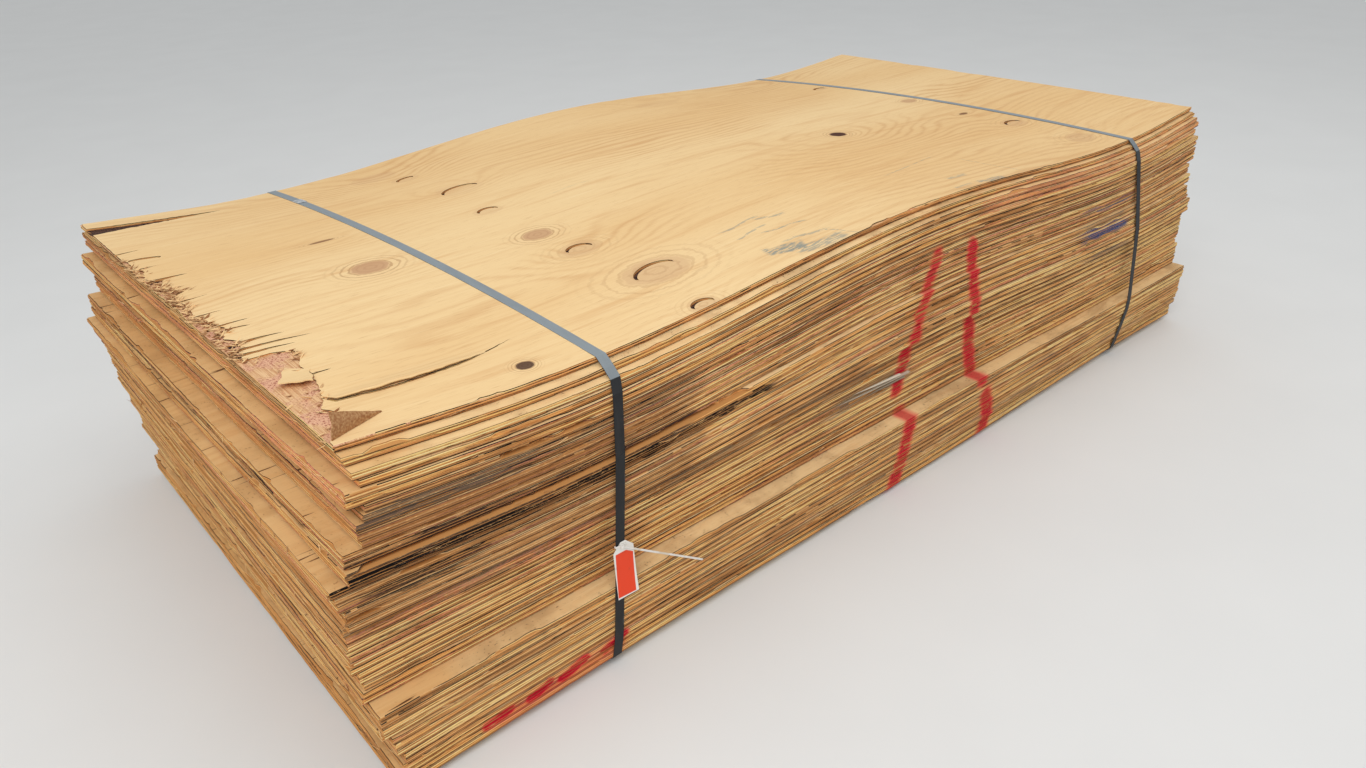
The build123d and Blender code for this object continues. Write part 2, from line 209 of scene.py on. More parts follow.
class Graph:
    """The node tree of one material."""

    def __init__(self, name: str) -> None:
        """Starts a material with an empty node tree."""
        self.material = bpy.data.materials.new(name)
        self.material.use_nodes = True
        self.tree = self.material.node_tree
        self.tree.nodes.clear()

    def node(self, kind: str, settings: dict[str, object], inputs: dict[object, object]) -> bpy.types.Node:
        """Adds a node.

        Args:
            kind: The node's type.
            settings: Its settings by name.
            inputs: Values or links by the socket's name or place.

        Returns:
            The new node.
        """
        made = self.tree.nodes.new(kind)
        for key, value in settings.items():
            setattr(made, key, value)
        for key, value in inputs.items():
            socket = made.inputs[key]
            if isinstance(value, Shade):
                self.tree.links.new(value.socket, socket)
            elif isinstance(value, bpy.types.NodeSocket):
                self.tree.links.new(value, socket)
            else:
                socket.default_value = value
        return made

    def math(self, operation: str, *numbers: Number) -> Shade:
        """Adds a Math node and returns its result."""
        made = self.node("ShaderNodeMath", {"operation": operation}, dict(enumerate(numbers)))
        return Shade(self, made.outputs["Value"])

    def place(self) -> bpy.types.NodeSocket:
        """The point on the surface, in metres in the object's frame."""
        return self.node("ShaderNodeTexCoord", {}, {}).outputs["Object"]

    def arrow(self, operation: str, *vectors: object) -> bpy.types.Node:
        """Adds a Vector Math node and returns it."""
        return self.node("ShaderNodeVectorMath", {"operation": operation}, dict(enumerate(vectors)))

    def parts(self, vector: bpy.types.NodeSocket) -> tuple[Shade, Shade, Shade]:
        """The three parts of a vector."""
        made = self.node("ShaderNodeSeparateXYZ", {}, {"Vector": vector})
        return tuple(Shade(self, socket) for socket in made.outputs)

    def vector(self, along: Number, across: Number, up: Number) -> bpy.types.NodeSocket:
        """A vector from three numbers."""
        return self.node("ShaderNodeCombineXYZ", {}, {0: along, 1: across, 2: up}).outputs["Vector"]

    def facing(self) -> tuple[Shade, Shade, Shade]:
        """The direction that the surface faces."""
        return self.parts(self.node("ShaderNodeNewGeometry", {}, {}).outputs["True Normal"])

    def attribute(self, name: str) -> Shade:
        """A number kept on the mesh."""
        made = self.node("ShaderNodeAttribute", {"attribute_name": name}, {})
        return Shade(self, made.outputs["Fac"])

    def noise(self, vector: bpy.types.NodeSocket, scale: float = 1.0, detail: float = 2.0,
              roughness: float = 0.5, distortion: float = 0.0) -> Shade:
        """Cloudy noise.

        Args:
            vector: The point to read it at.
            scale: Clouds per unit.
            detail: Finer layers added.
            roughness: Strength of the finer layers.
            distortion: How far the clouds are stirred.

        Returns:
            The noise, mostly from 0.3 to 0.7.
        """
        made = self.node("ShaderNodeTexNoise", {"noise_dimensions": "3D"}, {
            "Vector": vector, "Scale": scale, "Detail": detail, "Roughness": roughness,
            "Distortion": distortion,
        })
        return Shade(self, made.outputs["Fac"])

    def chance(self, number: Shade) -> Shade:
        """A chance value from 0 to 1 for each whole number."""
        made = self.node("ShaderNodeTexWhiteNoise", {"noise_dimensions": "1D"}, {"W": number})
        return Shade(self, made.outputs["Value"])

    def mix(self, share: Number, first: Paint, second: Paint, way: str = "MIX") -> bpy.types.NodeSocket:
        """Mixes two colours.

        Args:
            share: How much of the second colour shows.
            first: The colour below.
            second: The colour above.
            way: The way in which they blend.

        Returns:
            The mixed colour.
        """
        made = self.node("ShaderNodeMix", {"data_type": "RGBA", "blend_type": way, "clamp_factor": True},
                         {0: share, 6: first, 7: second})
        return made.outputs[2]

    def bump(self, height: Shade, strength: float, distance: float) -> bpy.types.NodeSocket:
        """The surface's direction, roughened by a height."""
        made = self.node("ShaderNodeBump", {}, {"Height": height, "Strength": strength, "Distance": distance})
        return made.outputs["Normal"]

    def surface(self, sockets: dict[str, object]) -> bpy.types.Material:
        """Closes the graph with one shader.

        Args:
            sockets: Values or links of the shader's sockets.

        Returns:
            The finished material.
        """
        shader = self.node("ShaderNodeBsdfPrincipled", {}, sockets)
        self.node("ShaderNodeOutputMaterial", {}, {"Surface": shader.outputs["BSDF"]})
        return self.material


# ---------------------------------------------------------------- modelling tools
def choose_none() -> None:
    """Deselects every object."""
    bpy.ops.object.select_all(action="DESELECT")


def choose(piece: bpy.types.Object) -> None:
    """Makes a piece the only one selected, and the active one."""
    choose_none()
    piece.select_set(True)
    bpy.context.view_layer.objects.active = piece


def choose_edges(piece: bpy.types.Object, test: Callable[[Vector, Vector], bool]) -> None:
    """Selects edges of a piece in edit mode by their two ends.

    Args:
        piece: The piece, which is the active object.
        test: Says from an edge's two ends whether it is chosen.
    """
    bpy.ops.object.mode_set(mode="EDIT")
    bpy.ops.mesh.select_mode(type="EDGE")
    bpy.ops.mesh.select_all(action="DESELECT")
    bpy.ops.object.mode_set(mode="OBJECT")
    points = piece.data.vertices
    for edge in piece.data.edges:
        edge.select = test(points[edge.vertices[0]].co, points[edge.vertices[1]].co)
    bpy.ops.object.mode_set(mode="EDIT")


def read_points(piece: bpy.types.Object) -> np.ndarray:
    """The places of a mesh's vertices, one row each."""
    points = np.empty(len(piece.data.vertices) * 3)
    piece.data.vertices.foreach_get("co", points)
    return points.reshape(-1, 3)


def write_points(piece: bpy.types.Object, points: np.ndarray) -> None:
    """Moves a mesh's vertices to new places."""
    piece.data.vertices.foreach_set("co", points.ravel())
    piece.data.update()


def mesh_piece(name: str, points: np.ndarray, faces: Sequence[Sequence[int]]) -> bpy.types.Object:
    """Adds a piece from its vertices and faces."""
    mesh = bpy.data.meshes.new(name)
    mesh.from_pydata([tuple(point) for point in points], [], faces)
    piece = bpy.data.objects.new(name, mesh)
    bpy.context.scene.collection.objects.link(piece)
    return piece


def finish_piece(piece: bpy.types.Object, materials: Sequence[bpy.types.Material], slot: str,
                 *nodes: str) -> None:
    """Dresses a piece, sets it on the body and hides the nodes that it replaces.

    Args:
        piece: The finished piece.
        materials: Its materials.
        slot: The record's material slot; not used.
        nodes: The nodes that it replaces, if any.
    """
    piece.data.materials.clear()
    for material in materials:
        piece.data.materials.append(material)
    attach(piece, "root")
    if nodes:
        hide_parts(*nodes)
    log.info("%s: %d faces", piece.name, len(piece.data.polygons))


def note_level(piece: bpy.types.Object, number: int, share: np.ndarray) -> None:
    """Keeps on a sheet's mesh how high in the stack each vertex lies.

    Args:
        piece: The sheet.
        number: Its number, from 1 at the bottom.
        share: Each vertex's share of the sheet's thickness, from its underside.
    """
    level = piece.data.attributes.get("level") or piece.data.attributes.new("level", "FLOAT", "POINT")
    level.data.foreach_set("value", (number - 1 + 0.02 + 0.96 * share).astype(np.float32))


def paint_sides(piece: bpy.types.Object) -> None:
    """Gives the second material to the faces of a sheet that stand upright."""
    for face in piece.data.polygons:
        face.material_index = 0 if abs(face.normal.z) > 0.55 else 1


def copy_node(node: str, name: str) -> bpy.types.Object:
    """Copies a node into a piece of its own, with its loose triangles merged.

    Args:
        node: The node's name.
        name: The piece's name.

    Returns:
        The copy, which is left selected.
    """
    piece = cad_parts[node].copy()
    piece.data = piece.data.copy()
    piece.name = name
    piece.parent = None
    for key in list(piece.keys()):
        del piece[key]
    bpy.context.scene.collection.objects.link(piece)
    choose(piece)
    bpy.ops.object.mode_set(mode="EDIT")
    bpy.ops.mesh.select_all(action="SELECT")
    bpy.ops.mesh.remove_doubles(threshold=0.00001)
    bpy.ops.mesh.tris_convert_to_quads(face_threshold=math.radians(1), shape_threshold=math.radians(60))
    bpy.ops.object.mode_set(mode="OBJECT")
    return piece


class Datum:
    """Where the top sheet lies, which places on the stack are given from, in millimetres."""

    def __init__(self) -> None:
        """Reads the top sheet's middle and the height of its near left corner."""
        low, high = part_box("sheet_47")
        self.middle = (low + high) / 2
        points = read_points(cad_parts["sheet_47"])
        corner = np.hypot(points[:, 0] - low.x, points[:, 1] - low.y) < 2 * MM
        self.height = float(points[corner, 2].max())

    def along(self, place: float) -> float:
        """A place along the stack, in metres in the frame."""
        return self.middle.x + place * MM

    def across(self, place: float) -> float:
        """A place across the stack, in metres in the frame."""
        return self.middle.y + place * MM

    def up(self, place: float) -> float:
        """A height from the top sheet's corner, in metres in the frame."""
        return self.height + place * MM


datum = Datum()


# ---------------------------------------------------------------- the plywood's look
class Mark(Enum):
    """What has coloured a stretch of the stack's sides."""

    GREY = "weathered grey"
    DARK = "dark speckled"
    BLACK = "black stain"
    PINK = "pink torn fibre"
    BROWN = "brown core"
    PALE = "pale fresh veneer"
    INK = "blue ink"
    STAMP = "grey ink"


@dataclass(frozen=True)
class Stretch:
    """A coloured stretch of the near side, by sheets and by place along the stack in millimetres."""

    first: float
    last: float
    start: float
    end: float
    mark: Mark
    strength: float = 1.0


@dataclass(frozen=True)
class Knot:
    """A knot in the top veneer, in millimetres from the top sheet's middle."""

    along: float
    across: float
    length: float
    width: float
    swirl: float
    dark: float
    tone: Colour = srgb(196, 150, 110)


@dataclass(frozen=True)
class Stroke:
    """A soft stroke of paint on the near side, from one place to another in millimetres."""

    start: tuple[float, float]
    end: tuple[float, float]
    width: float
    strength: float = 1.0


@dataclass(frozen=True)
class Smudge:
    """A faded patch of grey ink on the top veneer, in millimetres and degrees."""

    along: float
    across: float
    length: float
    width: float
    turn: float
    strength: float


@dataclass(frozen=True)
class PlywoodFinish:
    """Raw construction plywood: veneer faces, ply edges, weathering, paint, ink and painted shade."""

    veneer_pale: Colour = srgb(240, 206, 152)
    veneer_warm: Colour = srgb(231, 190, 132)
    veneer_line: Colour = srgb(206, 152, 96)
    edge_pale: Colour = srgb(255, 214, 150)
    edge_warm: Colour = srgb(238, 182, 110)
    core: Colour = srgb(198, 142, 82)
    core_dark: Colour = srgb(92, 53, 24)
    glue: Colour = srgb(60, 34, 16)
    # Painted shade: near-black standing for the shade in open joints between sheets and in core voids; also the
    # darkest fibre specks.
    gap_shade_and_dark_fibre: Colour = srgb(24, 13, 7)
    grey: Colour = srgb(144, 126, 98)
    dark: Colour = srgb(66, 48, 40)
    black: Colour = srgb(26, 19, 17)
    pink: Colour = srgb(216, 148, 114)
    paint: Colour = srgb(226, 18, 54)
    paint_thick: Colour = srgb(178, 6, 34)
    ink: Colour = srgb(0, 84, 128)
    stamp: Colour = srgb(98, 104, 98)

    knots: tuple[Knot, ...] = (
        Knot(-588, -145, 66, 52, 2.0, 0.8),
        Knot(-898, -61, 78, 60, 2.6, 0.85),
        Knot(-900, -563, 30, 25, 2.0, 0.9, srgb(70, 40, 32)),
        Knot(339, -118, 46, 40, 4.5, 1.0, srgb(78, 42, 26)),
        Knot(330, -150, 220, 130, 5.0, 0.0),
        Knot(259, 484, 160, 80, 4.0, 0.1),
        Knot(-620, 488, 120, 70, 3.0, 0.2),
        Knot(-902, 140, 52, 11, 1.0, 0.75, srgb(120, 72, 40)),
        Knot(-578, 410, 70, 46, 2.0, 0.2),
        Knot(-560, 254, 60, 40, 2.0, 0.1),
        Knot(-540, 225, 120, 80, 2.6, 0.12),
        Knot(-577, 50, 70, 52, 2.2, 0.2),
        Knot(-574, -265, 90, 64, 2.6, 0.3),
        Knot(-540, -444, 150, 96, 3.4, 0.4),
        Knot(-568, -598, 60, 46, 2.5, 0.35),
        Knot(770, 316, 60, 44, 2.5, 0.25),
        Knot(794, 3, 50, 40, 2.0, 0.7),
        Knot(773, -193, 34, 16, 1.5, 0.8, srgb(110, 66, 36)),
        Knot(789, -337, 80, 60, 2.5, 0.3),
        Knot(799, -521, 96, 64, 2.0, 0.3),
        Knot(-60, 120, 260, 80, 2.4, 0.0),
        Knot(-980, -420, 240, 70, 2.2, 0.0),
        Knot(560, 470, 220, 70, 2.4, 0.0),
    )
    smudges: tuple[Smudge, ...] = (
        Smudge(-322, -552, 76, 34, -20, 0.95), Smudge(-262, -588, 110, 30, -8, 0.75),
        Smudge(-250, -540, 100, 7, -12, 0.6), Smudge(-300, -410, 110, 6, 4, 0.6),
        Smudge(-232, -424, 70, 7, -14, 0.65), Smudge(-305, -452, 80, 5, 6, 0.6),
        Smudge(-250, -482, 96, 6, -14, 0.7), Smudge(-196, -578, 66, 5, -62, 0.5),
        Smudge(230, -418, 200, 4, 8, 0.4), Smudge(384, -530, 150, 4, -78, 0.4),
        Smudge(232, -538, 60, 14, -6, 0.5), Smudge(184, -590, 50, 9, -4, 0.55),
        Smudge(272, -600, 90, 16, -4, 0.75), Smudge(-380, 36, 110, 4, 0, 0.2),
    )
    stretches: tuple[Stretch, ...] = (
        Stretch(46.0, 46.9, -1300, 1300, Mark.BROWN, 0.75),
        Stretch(38.0, 40.2, -1250, -960, Mark.GREY, 0.9),
        Stretch(36.0, 38.0, -1250, -700, Mark.BROWN, 0.65),
        Stretch(24.0, 41.0, -1300, -640, Mark.DARK, 0.4),
        Stretch(33.1, 34.6, -1300, -620, Mark.DARK, 0.8),
        Stretch(31.7, 33.0, -1300, -430, Mark.BLACK, 1.0),
        Stretch(28.4, 30.2, -1230, -1060, Mark.BLACK, 0.7),
        Stretch(23.4, 25.6, -1280, -150, Mark.GREY, 0.8),
        Stretch(22.6, 24.2, -1280, -780, Mark.PINK, 0.7),
        Stretch(18.6, 22.0, -280, -20, Mark.GREY, 1.0),
        Stretch(42.6, 45.6, 200, 1240, Mark.PINK, 0.7),
        Stretch(3.0, 4.6, -400, 1300, Mark.GREY, 0.6),
        Stretch(8.6, 9.6, -300, 1300, Mark.GREY, 0.6),
        Stretch(35.5, 36.7, 622, 848, Mark.INK, 0.6),
        Stretch(33.0, 34.2, 590, 862, Mark.STAMP, 0.7),
        Stretch(30.2, 32.6, 612, 830, Mark.INK, 1.0),
        Stretch(25.6, 27.2, 640, 850, Mark.STAMP, 0.8),
    )
    end_stretches: tuple[Stretch, ...] = (
        Stretch(44.2, 45.4, -640, 640, Mark.PINK, 0.8),
        Stretch(41.0, 43.6, -640, -330, Mark.PINK, 1.0),
        Stretch(37.0, 38.2, -640, 640, Mark.BROWN, 0.9),
        Stretch(34.4, 35.2, -520, 500, Mark.BLACK, 0.8),
        Stretch(29.0, 31.0, -640, 100, Mark.PINK, 0.8),
        Stretch(26.6, 27.2, -300, 640, Mark.BLACK, 0.8),
        Stretch(12.0, 13.0, -200, 640, Mark.BLACK, 0.7),
    )
    strokes: tuple[Stroke, ...] = (
        Stroke((28, -84), (-30, -200), 24, 0.9),
        Stroke((-42, -232), (-62, -360), 27),
        Stroke((-49, -424), (-62, -520), 29),
        Stroke((-66, -545), (-92, -632), 31),
        Stroke((150, -96), (166, -262), 26, 0.95),
        Stroke((176, -292), (210, -424), 29),
        Stroke((236, -476), (262, -540), 31),
        Stroke((262, -560), (228, -636), 30),
        Stroke((-1096, -560), (-1056, -552), 14),
        Stroke((-1014, -556), (-980, -544), 14),
        Stroke((-950, -552), (-908, -540), 15),
        Stroke((-862, -548), (-822, -536), 15),
        Stroke((-1060, -564), (-840, -556), 34, 0.4),
    )

    def veneer(self, graph: Graph, knots: Sequence[Knot]) -> tuple[bpy.types.NodeSocket, Shade]:
        """The face veneer, with its cathedral grain flowing round the knots.

        Args:
            graph: The material's graph.
            knots: The knots that show in it.

        Returns:
            The colour, and the height of the grain.
        """
        place = graph.place()
        along, across, up = graph.parts(place)
        sway = graph.noise(graph.vector(along * 0.8, across * 2.2, up * 0.4), 1.0, 2.0)
        drift = graph.noise(graph.vector(along * 2.6, across * 12.0, up * 0.4), 1.0, 2.0)
        phase = across * 40.0 + sway * 18.0 + drift * 2.6
        tint: Paint = graph.mix(sway.rise(0.35, 0.7), self.veneer_pale, self.veneer_warm)
        marks = []
        for knot in knots:
            across_it, along_it = 2 / (knot.width * MM), 2 / (knot.length * MM)
            scaled = graph.arrow("MULTIPLY_ADD", place, (along_it, across_it, 0.0), (
                -datum.along(knot.along) * along_it, -datum.across(knot.across) * across_it, 0.0)).outputs[0]
            square = Shade(graph, graph.arrow("DOT_PRODUCT", scaled, scaled).outputs["Value"])
            phase = graph.math("MULTIPLY_ADD", graph.math("POWER", math.exp(-0.2), square), knot.swirl, phase)
            if knot.dark:
                marks.append((knot, square ** 0.5))
        fine = graph.noise(graph.vector(along * 7.0, across * 300.0, up * 7.0), 1.0, 2.0, 0.6)
        waves = graph.math("SINE", phase * 6.2832 + fine * 2.6) * 0.5 + 0.5
        late = waves ** 3.0
        patch = graph.noise(graph.vector(along * 1.8, across * 5.0, up), 1.0, 2.0, 0.6)
        tint = graph.mix(late * patch.rise(0.36, 0.8) * 0.62, tint, self.veneer_line)
        streaky = graph.noise(graph.vector(along * 3.0, across * 46.0, up), 1.0, 2.0, 0.6)
        tint = graph.mix(streaky.rise(0.5, 0.78) * 0.42, tint, srgb(214, 162, 104))
        pores = graph.noise(graph.vector(along * 30.0, across * 700.0, up * 30.0), 1.0, 2.0)
        tint = graph.mix(pores.rise(0.58, 0.76) * 0.4, tint, srgb(182, 128, 76))
        # Painted sheen: pale cream along the fine grain streaks of the veneer.
        tint = graph.mix(fine.rise(0.52, 0.8) * 0.32, tint, srgb(252, 226, 178))
        if marks:
            stir = graph.noise(place, 55.0, 3.0, 0.6) * 0.4 - 0.2
        for knot, distance in marks:
            stirred = distance + stir
            if knot.dark >= 0.3:
                rings = graph.math("SINE", stirred * 17.0 + 3.0).rise(0.2, 1.0) * stirred.rise(2.5, 0.9)
                tint = graph.mix(rings * (0.6 * knot.dark), tint, srgb(160, 106, 64))
            tint = graph.mix(stirred.rise(1.02, 0.86) * knot.dark, tint, knot.tone)
        return tint, fine * 0.6

    def torn(self, graph: Graph) -> tuple[bpy.types.NodeSocket, Shade]:
        """An inner ply laid bare, with its grain across the sheet, glue left on it and painted shade in deep cuts.

        Args:
            graph: The material's graph.

        Returns:
            The colour, and the height of the fibres.
        """
        place = graph.place()
        along, across, up = graph.parts(place)
        fibres = graph.noise(graph.vector(along * 420.0, across * 14.0, up * 30.0), 1.0, 3.0, 0.6)
        specks = graph.noise(place, 300.0, 2.0, 0.6)
        patches = graph.noise(place, 22.0, 3.0)
        tint = graph.mix(fibres.rise(0.35, 0.7), srgb(232, 190, 142), srgb(196, 142, 96))
        tint = graph.mix(patches.rise(0.42, 0.6) * 0.75, tint, srgb(224, 170, 140))
        tint = graph.mix(specks.rise(0.53, 0.6) * patches.rise(0.36, 0.56) * 0.8, tint, srgb(150, 74, 58))
        through = (graph.attribute("level").fract() - 0.02) / 0.96
        # Painted shade: floors of deeper cuts and slits darken towards near-black, for the shade inside them.
        deep = graph.mix(specks.rise(0.45, 0.6), srgb(92, 60, 46), srgb(22, 13, 9))
        tint = graph.mix(1 - through.rise(0.64, 0.7), tint, deep)
        return tint, fibres * 1.3

    def edges(self, graph: Graph) -> tuple[bpy.types.NodeSocket, Shade]:
        """The plies' edges on the four sides, with weathering, paint, ink, painted shade and painted highlights.

        Args:
            graph: The material's graph.

        Returns:
            The colour, and the height of the fibres.
        """
        along, across, up = graph.parts(graph.place())
        towards_end, towards_side, _ = graph.facing()
        level = graph.attribute("level")
        number = level.floor()
        through = (level.fract() - 0.02) / 0.96
        ply = (through * 4.999).floor()
        end = (abs(towards_end) - abs(towards_side)).rise(-0.05, 0.05)
        run = along * (1 - end) + across * end
        odd = (ply * 0.5).fract() * 2
        rough = odd * (1 - end) + (1 - odd) * end
        layer = number * 5 + ply
        luck = graph.chance(layer)
        sheet_luck = graph.chance(number + 0.37)

        stretchy = graph.noise(graph.vector(run * 4.0, layer * 3.7, 0.0), 1.0, 3.0, 0.6)
        streaks = graph.noise(graph.vector(run * 13.0, level * 42.0, layer * 1.3), 1.0, 3.0, 0.6)
        grain = graph.noise(graph.vector(run * 420.0, level * 30.0, layer), 1.0, 1.0, 0.6)
        fuzz = graph.noise(graph.vector(run * 110.0, level * 22.0, across * 60.0), 1.0, 3.0, 0.7)
        opening = graph.noise(graph.vector(run * 3.2, number * 5.3, 1.7), 1.0, 2.0)

        tone = luck * 0.7 + sheet_luck * 0.45 + stretchy * 0.9 - 0.55
        pale = graph.mix(tone.rise(0.1, 0.9), self.edge_pale, self.edge_warm)
        pale = graph.mix(streaks.rise(0.5, 0.72) * 0.6, pale, self.core)
        ends = graph.mix(grain.rise(0.36, 0.7), self.core, self.core_dark)
        ends = graph.mix((stretchy + luck * 0.3).rise(0.46, 0.8) * 0.8, ends, self.edge_warm)
        tint = graph.mix(rough * 0.52, pale, ends)
        tint = graph.mix(opening.rise(0.5, 0.64) * 0.5, tint, srgb(128, 84, 44))
        tint = graph.mix(opening.rise(0.47, 0.34) * 0.5, tint, self.edge_pale)
        # Painted shade: each sheet's edge darkens towards its underside, as below the overhang of the sheet above,
        # more in some stretches and sheets.
        low = through.rise(0.5, 0.0) * (stretchy.rise(0.3, 0.6) * 0.7 + sheet_luck * 0.35)
        tint = graph.mix(low, tint, self.core_dark)
        tint = graph.mix(along.rise(0.1, 1.2) * 0.3, tint, self.edge_pale)
        between = (through * 5).fract()
        seam = 1 - between.least(1 - between).rise(0.0, 0.15)
        tint = graph.mix(seam * (stretchy.rise(0.35, 0.65) * 0.55 + 0.15), tint, self.glue)
        # Painted shade in core voids: dark slots along the edges of a few plies.
        slot = (luck - 0.9).rise(0.0, 0.01) * streaks.rise(0.36, 0.5)
        tint = graph.mix(slot * 0.8, tint, self.gap_shade_and_dark_fibre)
        speckled = (graph.chance(layer + 0.61) - 0.88).rise(0.0, 0.01) * stretchy.rise(0.4, 0.5)
        tint = graph.mix(speckled * 0.75, tint, graph.mix(fuzz.rise(0.48, 0.56), self.pink, srgb(112, 54, 42)))
        # Painted shade in the joints between sheets: a dark line along each sheet's top and bottom, wider where
        # the joint opens.
        away = through.least(1 - through)
        tint = graph.mix(away.rise(0.08 + opening * 0.17, 0.045) * (0.62 + 0.5 * opening.rise(0.36, 0.56)),
                         tint, self.gap_shade_and_dark_fibre)
        tint = graph.mix(fuzz.rise(0.62, 0.76) * 0.6, tint, self.core_dark)
        # The darkest fuzz specks take the same near-black, as dark fibre.
        tint = graph.mix(fuzz.rise(0.72, 0.78), tint, self.gap_shade_and_dark_fibre)
        # Painted highlight: pale specks where the fuzz is low, for light caught on the fibres.
        tint = graph.mix((1 - fuzz.rise(0.26, 0.4)) * 0.4, tint, self.edge_pale)

        near = (towards_side * -1).rise(0.3, 0.6) * (1 - end)
        left = (towards_end * -1).rise(0.3, 0.6) * end
        soft = graph.noise(graph.vector(run * 11.0, level * 0.5, 4.0), 1.0, 1.0) - 0.5
        spots = graph.noise(graph.vector(run * 120.0, level * 9.0, across * 120.0), 1.0, 2.0, 0.7)
        looks = {
            Mark.GREY: (self.grey, 0.75), Mark.DARK: (self.dark, 0.95), Mark.BLACK: (self.black, 1.0),
            Mark.PINK: (self.pink, 0.75), Mark.BROWN: (self.core, 0.8), Mark.PALE: (self.edge_pale, 0.7),
            Mark.INK: (self.ink, 1.0), Mark.STAMP: (self.stamp, 0.8),
        }
        swayed, stirred = level + soft * 2.4, run + soft * 0.16
        for stretches, shown, shift in ((self.stretches, near, datum.along(0)),
                                        (self.end_stretches, left, datum.across(0))):
            speckled, inked, plain = spots.rise(0.4, 0.54) * shown, streaks.rise(0.4, 0.5) * shown, \
                spots.rise(0.2, 0.5) * shown
            broken = {Mark.PINK: speckled, Mark.STAMP: inked, Mark.INK: inked}
            for stretch in stretches:
                colour, most = looks[stretch.mark]
                held = swayed.inside(stretch.first, stretch.last) * stirred.within(
                    shift + stretch.start * MM, shift + stretch.end * MM, 0.03)
                held = held * broken.get(stretch.mark, plain)
                tint = graph.mix(held * (most * stretch.strength), tint, colour)

        tint = graph.arrow("POWER", tint, (1.4, 1.36, 1.26)).outputs[0]
        tint = graph.arrow("MULTIPLY", tint, (1.38, 1.42, 1.5)).outputs[0]
        tint = graph.arrow("MINIMUM", tint, (0.92, 0.72, 0.46)).outputs[0]
        tint = self.sprayed(graph, tint, near * (0.86 + 0.2 * away.rise(0.02, 0.12)))
        return tint, fuzz

    def sprayed(self, graph: Graph, tint: Paint, shown: Number) -> bpy.types.NodeSocket:
        """The sprayed strokes of red paint on the near side.

        Args:
            graph: The material's graph.
            tint: The colour below the paint.
            shown: How much of the paint the surface takes.

        Returns:
            The colour with the paint.
        """
        place = graph.place()
        flat = graph.arrow("MULTIPLY", place, (1.0, 0.0, 1.0)).outputs[0]
        dust = graph.noise(place, 700.0, 1.0)
        ragged = graph.noise(graph.arrow("MULTIPLY", place, (46.0, 0.0, 80.0)).outputs[0], 1.0, 2.0) - 0.5
        red: Number = 0.0
        for stroke in self.strokes:
            red = graph.math("MULTIPLY_ADD", self.stroke_mask(graph, flat, stroke, ragged), stroke.strength, red)
        kept = (red * (0.84 + 0.3 * dust)).least(0.97) * shown
        return graph.mix(kept, tint, graph.mix((red - 0.6).rise(0.0, 0.5) * dust.rise(0.3, 0.6),
                                               self.paint, self.paint_thick))

    def stroke_mask(self, graph: Graph, flat: bpy.types.NodeSocket, stroke: Stroke, ragged: Shade) -> Shade:
        """Where a stroke leaves paint on the near side.

        Args:
            graph: The material's graph.
            flat: The point on the surface, without its place across the stack.
            stroke: The stroke.
            ragged: Noise that frays its edges.

        Returns:
            1 in the stroke's core and 0 away from it.
        """
        start = Vector((datum.along(stroke.start[0]), 0.0, datum.up(stroke.start[1])))
        run = Vector((datum.along(stroke.end[0]), 0.0, datum.up(stroke.end[1]))) - start
        slope = run / run.length_squared
        dot = graph.arrow("DOT_PRODUCT", flat, slope[:]).outputs["Value"]
        share = graph.node("ShaderNodeMath", {"operation": "SUBTRACT", "use_clamp": True},
                           {0: dot, 1: start.dot(slope)}).outputs[0]
        nearest = graph.arrow("MULTIPLY_ADD", graph.vector(share, share, share), run[:], start[:]).outputs[0]
        away = Shade(graph, graph.arrow("DISTANCE", flat, nearest).outputs["Value"])
        away = graph.math("MULTIPLY_ADD", ragged, 0.5 * stroke.width * MM, away)
        return away.rise(1.05 * stroke.width * MM, 0.3 * stroke.width * MM)

    def edge_material(self) -> bpy.types.Material:
        """The sides of every sheet."""
        graph = Graph("plywood_edges")
        colour, height = self.edges(graph)
        return graph.surface({
            "Base Color": colour, "Roughness": 0.86, "Specular IOR Level": 0.2,
            "Normal": graph.bump(height, 0.5, 0.0012),
        })

    def top_material(self) -> bpy.types.Material:
        """The top sheet's face, with its knots and smudges, and the plies laid bare in it."""
        graph = Graph("plywood_top")
        face, face_height = self.veneer(graph, self.knots)
        return self.face(graph, self.stamped(graph, face), face_height, self.torn(graph))

    def ledge_material(self) -> bpy.types.Material:
        """The faces of the sheets below the top one."""
        graph = Graph("plywood_ledges")
        face, face_height = self.veneer(graph, ())
        dirt = graph.noise(graph.place(), 9.0, 3.0, 0.65)
        face = graph.mix(dirt.rise(0.42, 0.7) * 0.55, face, srgb(172, 132, 88))
        specks = graph.noise(graph.place(), 190.0, 2.0, 0.6)
        face = graph.mix(specks.rise(0.62, 0.7) * dirt.rise(0.4, 0.6) * 0.7, face, srgb(104, 64, 44))
        along, across, up = graph.parts(graph.place())
        checks = graph.noise(graph.vector(along * 7.0, across * 110.0, up * 60.0), 1.0, 2.0)
        ends = 1 - (along - datum.along(-1219)).rise(0.06, 0.12)
        face = graph.mix(ends * 0.45, face, srgb(214, 158, 90))
        face = graph.mix(checks.rise(0.68, 0.72) * (0.25 + 0.7 * ends), face, self.core_dark)
        near = 1 - (across - datum.across(-560)).rise(0.0, 0.02)
        return self.face(graph, self.sprayed(graph, face, near * 0.85), face_height, (self.core, 0.0))

    def face(self, graph: Graph, face: Paint, face_height: Shade,
             torn: tuple[Paint, Number]) -> bpy.types.Material:
        """Closes the material of a face.

        Args:
            graph: The material's graph.
            face: The colour of the outer veneer.
            face_height: The height of its grain.
            torn: The colour and height where an inner ply is laid bare.

        Returns:
            The material.
        """
        through = (graph.attribute("level").fract() - 0.02) / 0.96
        inner = through.within(0.06, 0.95, 0.02)
        return graph.surface({
            "Base Color": graph.mix(inner, face, torn[0]), "Roughness": 0.78, "Specular IOR Level": 0.25,
            "Normal": graph.bump(face_height * 0.3 + torn[1] * inner, 0.5, 0.0012),
        })

